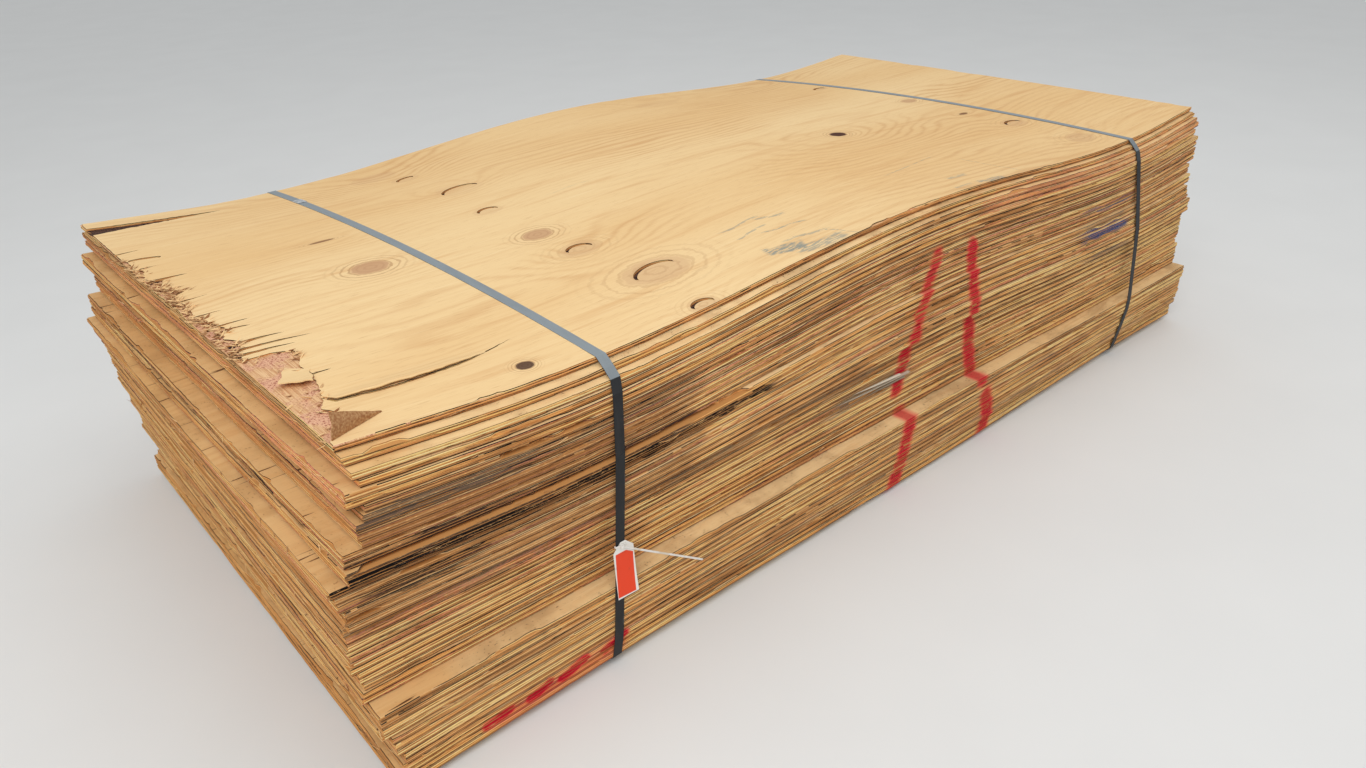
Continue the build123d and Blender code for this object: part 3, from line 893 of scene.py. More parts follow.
    def stamped(self, graph: Graph, face: Paint) -> bpy.types.NodeSocket:
        """Faded smudges of grey ink on the top veneer, which spell nothing.

        Args:
            graph: The material's graph.
            face: The veneer's colour.

        Returns:
            The colour with the smudges.
        """
        place = graph.place()
        spots = graph.noise(graph.arrow("MULTIPLY", place, (36.0, 190.0, 0.0)).outputs[0], 1.0, 3.0, 0.7)
        broad = graph.noise(place, 18.0, 2.0) - 0.5
        swayed = graph.arrow("ADD", place, graph.vector(broad * 0.03, broad * 0.02, 0.0)).outputs[0]
        inked = spots.rise(0.38, 0.56)
        for smudge in self.smudges:
            turn, middle = math.radians(smudge.turn), (datum.along(smudge.along), datum.across(smudge.across))
            held = inked * (0.9 * smudge.strength)
            for ahead, beside, reach in ((math.cos(turn), math.sin(turn), smudge.length * MM / 2),
                                         (-math.sin(turn), math.cos(turn), smudge.width * MM / 2)):
                dot = Shade(graph, graph.arrow("DOT_PRODUCT", swayed, (ahead, beside, 0.0)).outputs["Value"])
                shift = middle[0] * ahead + middle[1] * beside
                held = held * dot.within(shift - reach, shift + reach, 0.2 * reach)
            face = graph.mix(held, face, srgb(136, 142, 134))
        return face


# ---------------------------------------------------------------- the sheets
class Side(Enum):
    """One of the four sides of a sheet."""

    NEAR = "near"
    FAR = "far"
    LEFT = "left"
    RIGHT = "right"


@dataclass(frozen=True)
class Chip:
    """A bit broken from the top plies of a sheet's edge, in millimetres from the top sheet's middle."""

    sheet: int
    side: Side
    start: float
    end: float
    depth: float
    plies: int


@dataclass
class Blank:
    """A flat sheet with fine edges, every ply with two rows of its own, that the sheets are copied from."""

    columns: int = 24
    rows: int = 12
    shown_cuts: int = 10
    hidden_cuts: int = 6
    length: float = 2.438
    width: float = 1.219
    plies: int = 5
    share_of_seam: float = 0.006

    def build(self, name: str) -> bpy.types.Object:
        """Models the blank, its height running from 0 to 1.

        Args:
            name: The piece's name.

        Returns:
            The blank, lying about the origin.
        """
        choose_none()
        bpy.ops.mesh.primitive_cube_add(size=1.0, location=(0.0, 0.0, 0.0))
        blank = bpy.context.object
        blank.name = name
        half_length, half_width = self.length / 2, self.width / 2
        bpy.ops.object.mode_set(mode="EDIT")
        bpy.ops.mesh.select_all(action="SELECT")
        bpy.ops.transform.translate(value=(0.0, 0.0, 0.5))
        bpy.ops.transform.resize(value=(self.length, self.width, 1.0), center_override=(0.0, 0.0, 0.0))
        choose_edges(blank, lambda first, second: abs(first.x - second.x) > 0.5)
        bpy.ops.mesh.subdivide(number_cuts=self.columns - 1)
        choose_edges(blank, lambda first, second: abs(first.y - second.y) > 0.5)
        bpy.ops.mesh.subdivide(number_cuts=self.rows - 1)

        def on_side(first: Vector, second: Vector, sign: int) -> bool:
            """Whether an edge runs level along the near and left sides, or along the others."""
            if abs(first.z - second.z) > 0.5:
                return False
            along = abs(first.y - sign * half_width) < MM and abs(second.y - sign * half_width) < MM
            ends = abs(first.x - sign * half_length) < MM and abs(second.x - sign * half_length) < MM
            return along or ends

        choose_edges(blank, lambda first, second: on_side(first, second, -1))
        bpy.ops.mesh.subdivide(number_cuts=self.shown_cuts)
        choose_edges(blank, lambda first, second: on_side(first, second, 1))
        bpy.ops.mesh.subdivide(number_cuts=self.hidden_cuts)
        choose_edges(blank, lambda first, second: abs(first.z - second.z) > 0.5)
        bpy.ops.mesh.subdivide(number_cuts=2 * self.plies - 2)
        bpy.ops.object.mode_set(mode="OBJECT")
        return blank

    def heights(self, rows: np.ndarray) -> np.ndarray:
        """Shares of the thickness at which each row of a ply's edge lies."""
        ply, upper = rows // 2, rows % 2
        heights = (ply + upper) / self.plies + (0.5 - upper) * 2 * self.share_of_seam
        return np.clip(np.where(rows == 0, 0.0, np.where(rows == 2 * self.plies - 1, 1.0, heights)), 0, 1)


class SheetPlan:
    """Where a sheet's node lies: its middle, its turn and the height of its underside."""

    cast_inset = 0.9 * MM

    def __init__(self, node: str) -> None:
        """Reads the node's four corners and keeps its faces for finding heights."""
        points = read_points(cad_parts[node])
        flat = points[:, :2]
        near_left = flat[np.argmin(flat[:, 0] + flat[:, 1])]
        near_right = flat[np.argmax(flat[:, 0] - flat[:, 1])]
        far_left = flat[np.argmin(flat[:, 0] - flat[:, 1])]
        far_right = flat[np.argmax(flat[:, 0] + flat[:, 1])]
        self.middle = (near_left + near_right + far_left + far_right) / 4
        run = near_right + far_right - near_left - far_left
        self.turn = math.atan2(run[1], run[0])
        self.half_length = float(np.linalg.norm(run)) / 4
        rise = far_left + far_right - near_left - near_right
        self.half_width = float(np.linalg.norm(rise)) / 4
        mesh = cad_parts[node].data
        faces = [tuple(face.vertices) for face in mesh.polygons]
        self.tree = BVHTree.FromPolygons([tuple(point) for point in points], faces)

    def place(self, along: np.ndarray, across: np.ndarray) -> tuple[np.ndarray, np.ndarray]:
        """Places in the frame of places on the sheet.

        Args:
            along: Metres along the sheet from its middle.
            across: Metres across the sheet from its middle.

        Returns:
            The places along X and along Y.
        """
        cosine, sine = math.cos(self.turn), math.sin(self.turn)
        return (self.middle[0] + along * cosine - across * sine,
                self.middle[1] + along * sine + across * cosine)

    def underside(self, along: np.ndarray, across: np.ndarray) -> np.ndarray:
        """Heights of the sheet's underside.

        Args:
            along: Metres along the sheet from its middle.
            across: Metres across the sheet from its middle.

        Returns:
            The height at each place, in metres.
        """
        inside_along = np.clip(along, -self.half_length + self.cast_inset, self.half_length - self.cast_inset)
        inside_across = np.clip(across, -self.half_width + self.cast_inset, self.half_width - self.cast_inset)
        places_x, places_y = self.place(inside_along, inside_across)
        found: dict[tuple[int, int], float] = {}
        heights = np.empty(len(along))
        for i, (x, y) in enumerate(zip(places_x, places_y)):
            key = (round(x * 5000), round(y * 5000))
            if key not in found:
                hit = self.tree.ray_cast(Vector((x, y, -1.0)), Vector((0.0, 0.0, 1.0)))[0]
                found[key] = hit.z if hit else float("nan")
            heights[i] = found[key]
        return heights


@dataclass
class SheetStack:
    """The sheets below the top one, each with its own ragged edges."""

    count: int = 47
    thickness: float = 11.5 * MM
    plies: int = 5
    chips: tuple[Chip, ...] = (
        Chip(34, Side.NEAR, -1240, -520, 24, 2),
        Chip(41, Side.NEAR, -1010, -925, 26, 3),
        Chip(41, Side.NEAR, -905, -850, 12, 2),
        Chip(46, Side.NEAR, -1190, -1130, 14, 1),
        Chip(26, Side.NEAR, -215, -110, 22, 3),
        Chip(28, Side.NEAR, -1265, -1205, 20, 3),
        Chip(31, Side.NEAR, -1180, -1110, 16, 2),
        Chip(36, Side.NEAR, -1135, -1090, 14, 2),
        Chip(28, Side.NEAR, -1040, -780, 12, 1),
        Chip(45, Side.LEFT, -330, -210, 16, 2),
        Chip(39, Side.LEFT, 120, 260, 18, 2),
        Chip(33, Side.LEFT, -420, -260, 22, 2),
    )
    blank: Blank = field(default_factory=Blank)

    def build(self, faces: bpy.types.Material, edges: bpy.types.Material) -> None:
        """Copies the blank for each sheet, roughens its edges and presses it to its place.

        Args:
            faces: The material of the sheets' faces.
            edges: The material of their sides.
        """
        pattern = self.blank.build("sheet_blank")
        for number in range(1, self.count):
            piece = pattern.copy()
            piece.data = pattern.data.copy()
            piece.name = f"ply_sheet_{number:02d}"
            bpy.context.scene.collection.objects.link(piece)
            self.press(piece, number, self.blank)
            finish_piece(piece, (faces, edges), "plywood", f"sheet_{number:02d}")
            paint_sides(piece)
        bpy.data.objects.remove(pattern)

    def press(self, piece: bpy.types.Object, number: int, blank: Blank,
              tear: Union[Callable[[np.ndarray], np.ndarray], None] = None) -> SheetPlan:
        """Roughens a blank's edges, presses it to its node and notes its level in the stack.

        Args:
            piece: A copy of the blank.
            number: The sheet's number, from 1 at the bottom.
            blank: The blank that the piece is a copy of.
            tear: Where the top veneer ends at the left for a place across, if it is torn.

        Returns:
            The plan that it was pressed to.
        """
        plan = SheetPlan(f"sheet_{number:02d}")
        points = read_points(piece)
        along, across, height = points[:, 0].copy(), points[:, 1].copy(), points[:, 2]
        rows = np.rint(height * (2 * self.plies - 1)).astype(int)
        share = blank.heights(rows)
        half_length, half_width = blank.length / 2, blank.width / 2
        for side in Side:
            if side in (Side.NEAR, Side.FAR):
                sign = -1 if side is Side.NEAR else 1
                held = np.abs(across - sign * half_width) < MM
                inwards = self.ragged(number, side, rows[held], along[held])
                across[held] -= sign * inwards
        for side in (Side.LEFT, Side.RIGHT):
            sign = -1 if side is Side.LEFT else 1
            held = np.abs(points[:, 0] - sign * half_length) < MM
            inwards = self.ragged(number, side, rows[held], points[held, 1])
            along[held] -= sign * inwards
        if tear:
            held = (rows >= 2 * self.plies - 2) & (along < 0) & (np.abs(points[:, 0]) > half_length - 0.12)
            along[held] = np.maximum(along[held], tear(across[held]))
        along *= plan.half_length / half_length
        across *= plan.half_width / half_width
        x, y = plan.place(along, across)
        z = plan.underside(along, across) + share * self.thickness
        write_points(piece, np.column_stack((x, y, z)))
        note_level(piece, number, share)
        choose(piece)
        bpy.ops.object.shade_smooth_by_angle(angle=math.radians(14))
        return plan

    def bites(self, places: np.ndarray, spacing: float, rare: float, depth: float, seed: int) -> np.ndarray:
        """Slivers broken from a ply at chance places, with steep ends.

        Args:
            places: Places along the side.
            spacing: About the length of a sliver, in metres.
            rare: From 0 to 1, how seldom one is missing.
            depth: How deep they are, in millimetres.
            seed: Which chance values to take.

        Returns:
            Millimetres inwards at each place.
        """
        lost = np.clip((wander(places, spacing, seed) - rare) * 14, 0, 1)
        return lost * depth * (0.65 + 0.35 * wander(places, 0.021, seed + 40))

    def ragged(self, number: int, side: Side, rows: np.ndarray, places: np.ndarray) -> np.ndarray:
        """How far each point of an edge lies inside the sheet's true side.

        Args:
            number: The sheet's number.
            side: The side that the points are on.
            rows: Each point's row, two to a ply.
            places: Each point's place along the side, in metres from the sheet's middle.

        Returns:
            Metres inwards, a little below 0 where a ply stands proud.
        """
        long_side = side in (Side.NEAR, Side.FAR)
        seed = 1000 * number + 100 * list(Side).index(side)
        inwards = 0.45 * wander(places, 0.31, seed) + 0.35 * wander(places, 0.083, seed + 1)
        for ply in range(self.plies):
            held = rows // 2 == ply
            run = places[held]
            here = seed + 10 * ply
            own = 0.25 * wander(run, 0.06, here) + 0.3 * wander(run, 0.019, here + 1)
            if (ply % 2 == 1) == long_side:
                own += 0.8 + 0.5 * wander(run, 0.0115, here + 2) + np.clip(wander(run, 0.21, here + 6), 0, 1)
                own += self.bites(run, 0.03, 0.8, 4.5, here + 3)
            else:
                own += self.bites(run, 0.16, 0.72, 3.0, here + 4)
            if ply in (0, self.plies - 1):
                own += self.bites(run, 0.11, 0.66, 5.5, here + 5)
            inwards[held] += own
        outer = (rows == 0) | (rows == 2 * self.plies - 1)
        gape = 0.7 + 0.4 * wander(places, 0.03, seed + 77) + 0.9 * np.clip(wander(places, 0.4, seed + 78), 0, 1)
        inwards = inwards + np.where(outer, gape, 0.0)
        shift = datum.middle.x if long_side else datum.middle.y
        middle = SHEET_MIDDLES[number]
        for chip in self.chips:
            if chip.sheet == number and chip.side is side:
                start = chip.start * MM + shift - middle[0 if long_side else 1]
                end = chip.end * MM + shift - middle[0 if long_side else 1]
                share = (places - start) / (end - start)
                shape = np.clip(np.minimum(share, 1 - share) * abs(end - start) / 0.012, 0, 1)
                shape = shape * (0.72 + 0.2 * wander(places, 0.05, seed + 55)
                                 + 0.26 * wander(places, 0.013, seed + 56))
                lost = rows // 2 >= self.plies - chip.plies
                step = 1 - 0.16 * (self.plies - 1 - rows // 2)
                inwards = inwards + np.where(lost, np.clip(shape, 0, 1) * chip.depth * step, 0.0)
        return inwards * MM


def sheet_middles(count: int) -> dict[int, tuple[float, float]]:
    """The middle of each sheet's node, by its number.

    Args:
        count: Number of sheets.

    Returns:
        Places along X and Y, in metres.
    """
    middles = {}
    for number in range(1, count + 1):
        low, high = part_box(f"sheet_{number:02d}")
        middles[number] = ((low.x + high.x) / 2, (low.y + high.y) / 2)
    return middles


SHEET_MIDDLES = sheet_middles(47)


@dataclass(frozen=True)
class Slit:
    """A split along the grain that runs in from the torn end, in millimetres."""

    start: float
    across: float
    length: float
    width: float
    drift: float = 0.0


@dataclass
class TopSheet:
    """The top sheet, with its torn end, knot holes, crack, split corner and curled flap."""

    number: int = 47
    ply: float = 2.3 * MM
    torn_end: tuple[tuple[float, float], ...] = (
        (-1221, 609.5), (-1220, 330), (-1214, 300), (-1217, 250), (-1207, 225), (-1214, 176), (-1195, 150),
        (-1207, 110), (-1184, 66), (-1209, 54), (-1203, 0), (-1212, -60), (-1197, -110), (-1190, -140),
        (-1205, -180), (-1187, -205), (-1203, -240), (-1211, -279), (-1176, -281), (-1143, -297),
        (-1141, -325), (-1157, -357), (-1152, -381), (-1164, -419), (-1173, -471), (-1186, -502),
        (-1176, -530), (-1192, -556), (-1184, -572), (-1212, -590), (-1221, -600), (-1221, -609.5),
    )
    slits: tuple[Slit, ...] = (
        Slit(-1220, 352, 50, 4, 3), Slit(-1216, 240, 44, 4), Slit(-1206, 158, 56, 9, -4),
        Slit(-1212, 96, 40, 4), Slit(-1208, 22, 50, 4, 2), Slit(-1210, -62, 48, 4), Slit(-1200, -126, 58, 5, -3),
        Slit(-1194, -146, 46, 4, -12), Slit(-1198, -212, 74, 8, -10), Slit(-1206, -236, 112, 5, -22),
        Slit(-1205, -258, 80, 6, -14), Slit(-1158, -394, 38, 4),
    )
    holes: tuple[tuple[float, float, float, float, float], ...] = (
        (-578, 410, 48, 26, 10), (-540, 222, 95, 62, 5), (-577, 50, 50, 40, 0), (-574, -265, 58, 46, -5),
        (-540, -444, 100, 62, 8), (-568, -598, 50, 38, 0), (770, 316, 46, 34, 0), (789, -337, 62, 44, 0),
        (-1184, 292, 58, 18, -16),
    )
    slit_of_hole: float = 6.0
    wedge: tuple[tuple[float, float], ...] = ((-1240, 566), (-960, 534), (-1240, 508))
    crack: tuple[tuple[float, float], ...] = (
        (-1176, -470), (-1160, -490), (-1100, -499), (-1037, -500), (-975, -496), (-922, -488), (-866, -476),
        (-922, -491.5), (-975, -501), (-1037, -505.5), (-1100, -504.5), (-1164, -496),
    )

    def tear(self, across: np.ndarray) -> np.ndarray:
        """Where the torn veneer ends.

        Args:
            across: Metres across the sheet.

        Returns:
            Metres along the sheet.
        """
        ends = np.array(self.torn_end)[::-1]
        edge = np.interp(across / MM, ends[:, 1], ends[:, 0])
        torn = np.clip((edge + 1220) / 6, 0, 1)
        teeth = 5 * np.abs(wander(across, 0.0105, 5)) + 4 * wander(across, 0.023, 6) + 2 * wander(across, 0.005, 7)
        return (edge + torn * teeth * (0.6 + 0.5 * wander(across, 0.1, 8))) * MM

    def build(self, stack: SheetStack, faces: bpy.types.Material, edges: bpy.types.Material) -> bpy.types.Object:
        """Models the top sheet.

        Args:
            stack: The stack that it lies on, which presses it to its node.
            faces: The material of its faces.
            edges: The material of its sides.

        Returns:
            The finished sheet.
        """
        blank = Blank(columns=20, rows=18, shown_cuts=16, hidden_cuts=4)
        piece = blank.build("ply_sheet_47")
        self.plan = stack.press(piece, self.number, blank, self.tear)
        tools = [self.cutter(outline, plies, f"cutter_{i}") for i, (outline, plies) in enumerate(self.outlines())]
        for tool in tools:
            choose(piece)
            cut = piece.modifiers.new("cut", "BOOLEAN")
            cut.operation = "DIFFERENCE"
            cut.solver = "EXACT"
            cut.object = tool
            bpy.ops.object.modifier_apply(modifier=cut.name)
            log.info("%s: %d faces left", tool.name, len(piece.data.polygons))
            bpy.data.objects.remove(tool)
        points = read_points(piece)
        low = self.plan.underside(points[:, 0] - self.plan.middle[0], points[:, 1] - self.plan.middle[1])
        share = np.clip((points[:, 2] - low) / stack.thickness, 0, 1)
        note_level(piece, self.number, np.where(share > 0.88, 1.0, share))
        finish_piece(piece, (faces, edges), "plywood", "sheet_47")
        paint_sides(piece)
        choose(piece)
        bpy.ops.object.shade_smooth_by_angle(angle=math.radians(14))
        self.thickness = stack.thickness
        self.lip(faces)
        self.loose_chip(faces)
        return piece

    def top(self, along: np.ndarray, across: np.ndarray) -> np.ndarray:
        """Heights of the sheet's upper face at places in millimetres."""
        return self.plan.underside(along * MM, across * MM) + 11.5 * MM

    def outlines(self) -> list[tuple[np.ndarray, int]]:
        """Plans, in millimetres, of all that is missing from the sheet's face, with the plies lost."""
        found = [(self.frayed(self.wedge, 2.0, 21), 2), (self.frayed(self.crack, 0.8, 22), 2)]
        for i, slit in enumerate(self.slits):
            tip = (slit.start + slit.length, slit.across + slit.drift)
            corners = (
                (slit.start - 12, slit.across + slit.width), (slit.start + 0.6 * slit.length,
                 slit.across + 0.4 * slit.width + 0.5 * slit.drift), tip,
                (slit.start + 0.5 * slit.length, slit.across - 0.3 * slit.width + 0.5 * slit.drift),
                (slit.start - 12, slit.across - slit.width),
            )
            found.append((self.frayed(corners, 0.7, 30 + i), 2))
        for along, across, length, width, turn in self.holes:
            arc = np.linspace(0.05 * math.pi, 0.95 * math.pi, 26)
            outer = np.column_stack((length / 2 * np.cos(arc), width / 2 * np.sin(arc)))
            slit = self.slit_of_hole
            inner = np.column_stack(((length - slit) / 2 * np.cos(arc), (width - slit) / 2 * np.sin(arc) - slit))
            shape = np.vstack((outer, inner[::-1]))
            angle = math.radians(turn)
            turned = shape @ np.array(((math.cos(angle), math.sin(angle)), (-math.sin(angle), math.cos(angle))))
            found.append((turned + (along, across), 2))
        return found

    def frayed(self, corners: Sequence[tuple[float, float]], fray: float, seed: int) -> np.ndarray:
        """An outline divided every few millimetres and roughened.

        Args:
            corners: The outline's corners, in millimetres.
            fray: How far its points stray, in millimetres.
            seed: Which chance values to take.

        Returns:
            The rough outline.
        """
        chance = np.random.default_rng(seed)
        rough = []
        for first, second in zip(corners, list(corners[1:]) + [corners[0]]):
            steps = max(1, round(math.dist(first, second) / 6))
            for step in range(steps):
                share = step / steps
                stray = chance.uniform(-fray, fray, 2) * math.sin(math.pi * share)
                rough.append((first[0] + share * (second[0] - first[0]) + stray[0],
                              first[1] + share * (second[1] - first[1]) + stray[1]))
        return np.array(rough)

    def cutter(self, outline: np.ndarray, plies: int, name: str) -> bpy.types.Object:
        """A tool that cuts the upper plies away inside an outline.

        Args:
            outline: The outline, in millimetres.
            plies: How many plies it cuts away.
            name: The tool's name.

        Returns:
            The tool, its floor at the lowest of those plies.
        """
        choose_none()
        bpy.ops.mesh.primitive_circle_add(vertices=len(outline), fill_type="NGON", location=(0, 0, 0))
        tool = bpy.context.object
        tool.name = name
        floor = self.top(outline[:, 0], outline[:, 1]) - plies * self.ply
        x, y = self.plan.place(outline[:, 0] * MM, outline[:, 1] * MM)
        write_points(tool, np.column_stack((x, y, floor)))
        bpy.ops.object.mode_set(mode="EDIT")
        bpy.ops.mesh.select_all(action="SELECT")
        bpy.ops.mesh.extrude_region_move(TRANSFORM_OT_translate={"value": (0.0, 0.0, 12 * MM)})
        bpy.ops.mesh.select_all(action="SELECT")
        bpy.ops.mesh.normals_make_consistent(inside=False)
        bpy.ops.object.mode_set(mode="OBJECT")
        return tool

    def leaf(self, name: str, along_cells: int, across_cells: int, material: bpy.types.Material, tone: float,
             shape: Callable[[np.ndarray, np.ndarray], tuple[np.ndarray, np.ndarray, np.ndarray]]) -> None:
        """A loose leaf of veneer.

        Args:
            name: The piece's name.
            along_cells: Cells along it.
            across_cells: Cells across it.
            material: Its material.
            tone: How brown it is, for a material of torn fibre.
            shape: Gives from shares along and across the place in millimetres and the rise over the face.
        """
        choose_none()
        bpy.ops.mesh.primitive_grid_add(x_subdivisions=along_cells, y_subdivisions=across_cells, size=1.0,
                                        location=(0.0, 0.0, 0.0))
        leaf = bpy.context.object
        leaf.name = name
        points = read_points(leaf)
        along, across, rise = shape(points[:, 0] + 0.5, points[:, 1] + 0.5)
        x, y = self.plan.place(along * MM, across * MM)
        write_points(leaf, np.column_stack((x, y, self.top(along, across) + rise * MM)))
        shell = leaf.modifiers.new("shell", "SOLIDIFY")
        shell.thickness = self.ply * 0.8
        shell.offset = -1.0
        choose(leaf)
        bpy.ops.object.modifier_apply(modifier=shell.name)
        bpy.ops.object.shade_smooth_by_angle(angle=math.radians(30))
        note_level(leaf, self.number, np.ones(len(leaf.data.vertices)))
        shade = leaf.data.attributes.new("tone", "FLOAT", "POINT")
        shade.data.foreach_set("value", np.full(len(leaf.data.vertices), tone, np.float32))
        finish_piece(leaf, (material,), "plywood")

    def flap(self, fibre: bpy.types.Material) -> None:
        """The near left corner of the veneer, folded up along a slanted crease.

        Args:
            fibre: The material of its torn inner side.
        """

        def shape(along: np.ndarray, across: np.ndarray) -> tuple[np.ndarray, np.ndarray, np.ndarray]:
            """Places of the flap, whose left end stands highest."""
            left = 1 - 0.97 * along
            height = across * left
            curl = np.sin(np.pi * across) * left
            return (-1215 + 86 * along + 9 * height + 2 * wander(across, 0.3, 9), -597 + 36 * along + 10 * height - 4 * curl,
                    height * (37 + 2 * wander(along, 0.12, 10)) + 0.4)

        self.leaf("veneer_flap", 16, 8, fibre, 0.72, shape)

    def lip(self, faces: bpy.types.Material) -> None:
        """The raised edge of veneer along the far side of the crack."""
        line = np.array(self.crack[:7])

        def shape(along: np.ndarray, across: np.ndarray) -> tuple[np.ndarray, np.ndarray, np.ndarray]:
            """Places of the lip, highest at the crack and towards the torn end."""
            place = -1172 + along * 250
            edge = np.interp(place, line[:, 0], line[:, 1]) - 2.0 + 1.2 * wander(along, 0.04, 11)
            width = 40 * np.sin(np.pi * np.clip(along * 0.96 + 0.02, 0, 1)) ** 0.5
            swell = np.sin(np.pi * np.clip(0.12 + 0.88 * along, 0, 1)) ** 0.7
            rise = (1 - across) ** 1.6 * 8.5 * swell - 3.0 * np.clip(1 - across * 9, 0, 1) * swell
            return place, edge + across * width, rise + 0.15

        self.leaf("veneer_lip", 44, 10, faces, 0.0, shape)

    def loose_chip(self, faces: bpy.types.Material) -> None:
        """A bit of veneer that has broken off at the torn end and stands up at its near side."""
        corners = np.array(((-1178, -350), (-1150, -376), (-1206, -408), (-1164, -426)), float)

        def shape(along: np.ndarray, across: np.ndarray) -> tuple[np.ndarray, np.ndarray, np.ndarray]:
            """Places of the chip between its four corners."""
            far = np.outer(1 - along, corners[0]) + np.outer(along, corners[1])
            close = np.outer(1 - along, corners[2]) + np.outer(along, corners[3])
            place = far * (1 - across)[:, None] + close * across[:, None]
            stray = 2.5 * wander(along, 0.17, 12) * across
            return place[:, 0] + 2 * wander(across, 0.2, 13), place[:, 1] + stray, 8 * across**1.4 - 1.2

        self.leaf("veneer_chip", 10, 8, faces, 0.0, shape)


@dataclass
class Fibres:
    """Splinters that stand off the broken edges, each a bent sliver of wood."""

    seed: int = 11

    def sliver(self) -> tuple[np.ndarray, list[tuple[int, ...]]]:
        """One sliver, pointing along X from 0 to 1 and one across at its root.

        Returns:
            Its points and its faces.
        """
        choose_none()
        bpy.ops.mesh.primitive_cone_add(vertices=4, radius1=0.5, radius2=0.0, depth=1.0, location=(0, 0, 0))
        pattern = bpy.context.object
        bpy.ops.object.mode_set(mode="EDIT")
        bpy.ops.mesh.select_all(action="SELECT")
        bpy.ops.mesh.bisect(plane_co=(0.0, 0.0, 0.05), plane_no=(0.0, 0.0, 1.0))
        bpy.ops.object.mode_set(mode="OBJECT")
        points = read_points(pattern)
        points = np.column_stack((points[:, 2] + 0.5, points[:, 0], points[:, 1]))
        bent = np.abs(points[:, 0] - 0.55) < 0.01
        points[bent, 1:] *= 1.5
        points[:, 2] += 0.5 * points[:, 0] ** 2
        faces = [tuple(face.vertices) for face in pattern.data.polygons]
        bpy.data.objects.remove(pattern)
        return points, faces

    def lay(self, name: str, roots: np.ndarray, aims: np.ndarray, lengths: np.ndarray, widths: np.ndarray,
            material: bpy.types.Material) -> None:
        """Makes one piece of many slivers.

        Args:
            name: The piece's name.
            roots: Where each sliver starts.
            aims: Which way each one points.
            lengths: Their lengths.
            widths: Their widths.
            material: Their material.
        """
        pattern, pattern_faces = self.sliver()
        points, faces, tones = [], [], []
        chance = np.random.default_rng(self.seed)
        for root, aim, length, width in zip(roots, aims, lengths, widths):
            ahead = Vector(aim).normalized()
            side = ahead.cross(Vector((0.0, 0.0, 1.0))).normalized()
            above = side.cross(ahead)
            turn = chance.uniform(-0.6, 0.6)
            flat = side * math.cos(turn) + above * math.sin(turn)
            thick = above * math.cos(turn) - side * math.sin(turn)
            start = len(points) * len(pattern)
            placed = (np.outer(pattern[:, 0] * length, ahead) + np.outer(pattern[:, 1] * width, flat)
                      + np.outer(pattern[:, 2] * width * 0.5, thick) + root)
            points.append(placed)
            faces.extend(tuple(start + corner for corner in face) for face in pattern_faces)
            tones.append(np.full(len(pattern), chance.uniform(0, 1)))
        piece = mesh_piece(name, np.vstack(points), faces)
        tone = piece.data.attributes.new("tone", "FLOAT", "POINT")
        tone.data.foreach_set("value", np.concatenate(tones).astype(np.float32))
        choose(piece)
        bpy.ops.object.mode_set(mode="EDIT")
        bpy.ops.mesh.select_all(action="SELECT")
        bpy.ops.mesh.normals_make_consistent(inside=False)
        bpy.ops.object.mode_set(mode="OBJECT")
        finish_piece(piece, (material,), "plywood")

    def on_sides(self, material: bpy.types.Material, near_count: int = 620, left_count: int = 420) -> None:
        """Splinters along the near side and the left end of the sheets.

        Args:
            material: Their material.
            near_count: How many are on the near side.
            left_count: How many are on the left end.
        """
        chance = np.random.default_rng(self.seed)
        plans = {number: SheetPlan(f"sheet_{number:02d}") for number in range(2, 48)}
        for name, count, near in (("splinters_near", near_count, True), ("splinters_left", left_count, False)):
            roots, aims, lengths, widths = [], [], [], []
            while len(roots) < count:
                number = int(chance.integers(2, 48))
                plan = plans[number]
                reach = plan.half_length if near else plan.half_width
                run = float(reach * chance.uniform(-1, 1))
                if near and chance.uniform() > 0.35 + 0.65 * math.exp(-((run + 1.0) ** 2) / 0.5):
                    continue
                share = float(chance.choice((0.2, 0.4, 0.6, 0.8, 0.97)))
                inset = chance.uniform(0.001, 0.003)
                along, across = (run, inset - plan.half_width) if near else (inset - plan.half_length, run)
                x, y = plan.place(np.array([along]), np.array([across]))
                z = plan.underside(np.array([along]), np.array([across])) + share * 11.5 * MM
                roots.append((x[0], y[0], z[0]))
                way = float(chance.choice((-1, 1)))
                out, up = chance.uniform(-0.22, -0.05), chance.uniform(-0.05, 0.08)
                aims.append((way, out, up) if near else (out * 1.6, way, up))
                lengths.append(chance.uniform(0.008, 0.034) * (1.5 if chance.uniform() > 0.9 else 1.0))
                widths.append(chance.uniform(0.0007, 0.002))
            self.lay(name, np.array(roots), np.array(aims), np.array(lengths), np.array(widths), material)

    def big_splinter(self, material: bpy.types.Material) -> None:
        """The long grey splinter that stands off the near side, its loose end to the right."""
        plan = SheetPlan("sheet_21")
        along, across = np.array([0.0]), np.array([-plan.half_width])
        height = plan.underside(np.array([datum.along(-60) - plan.middle[0]]), across)[0]
        root = np.array(((datum.along(-38), plan.place(along, across)[1][0] - 0.006, height + 0.006),) * 3)
        aims = np.array(((-1.0, 0.045, -0.02), (-1.0, 0.03, 0.03), (-1.0, 0.05, -0.05)))
        self.lay("long_splinter", root + ((0, 0, 0), (-0.03, -0.001, 0.006), (-0.012, 0.001, -0.007)), aims,
                 np.array((0.23, 0.15, 0.12)), np.array((0.013, 0.008, 0.009)), material)

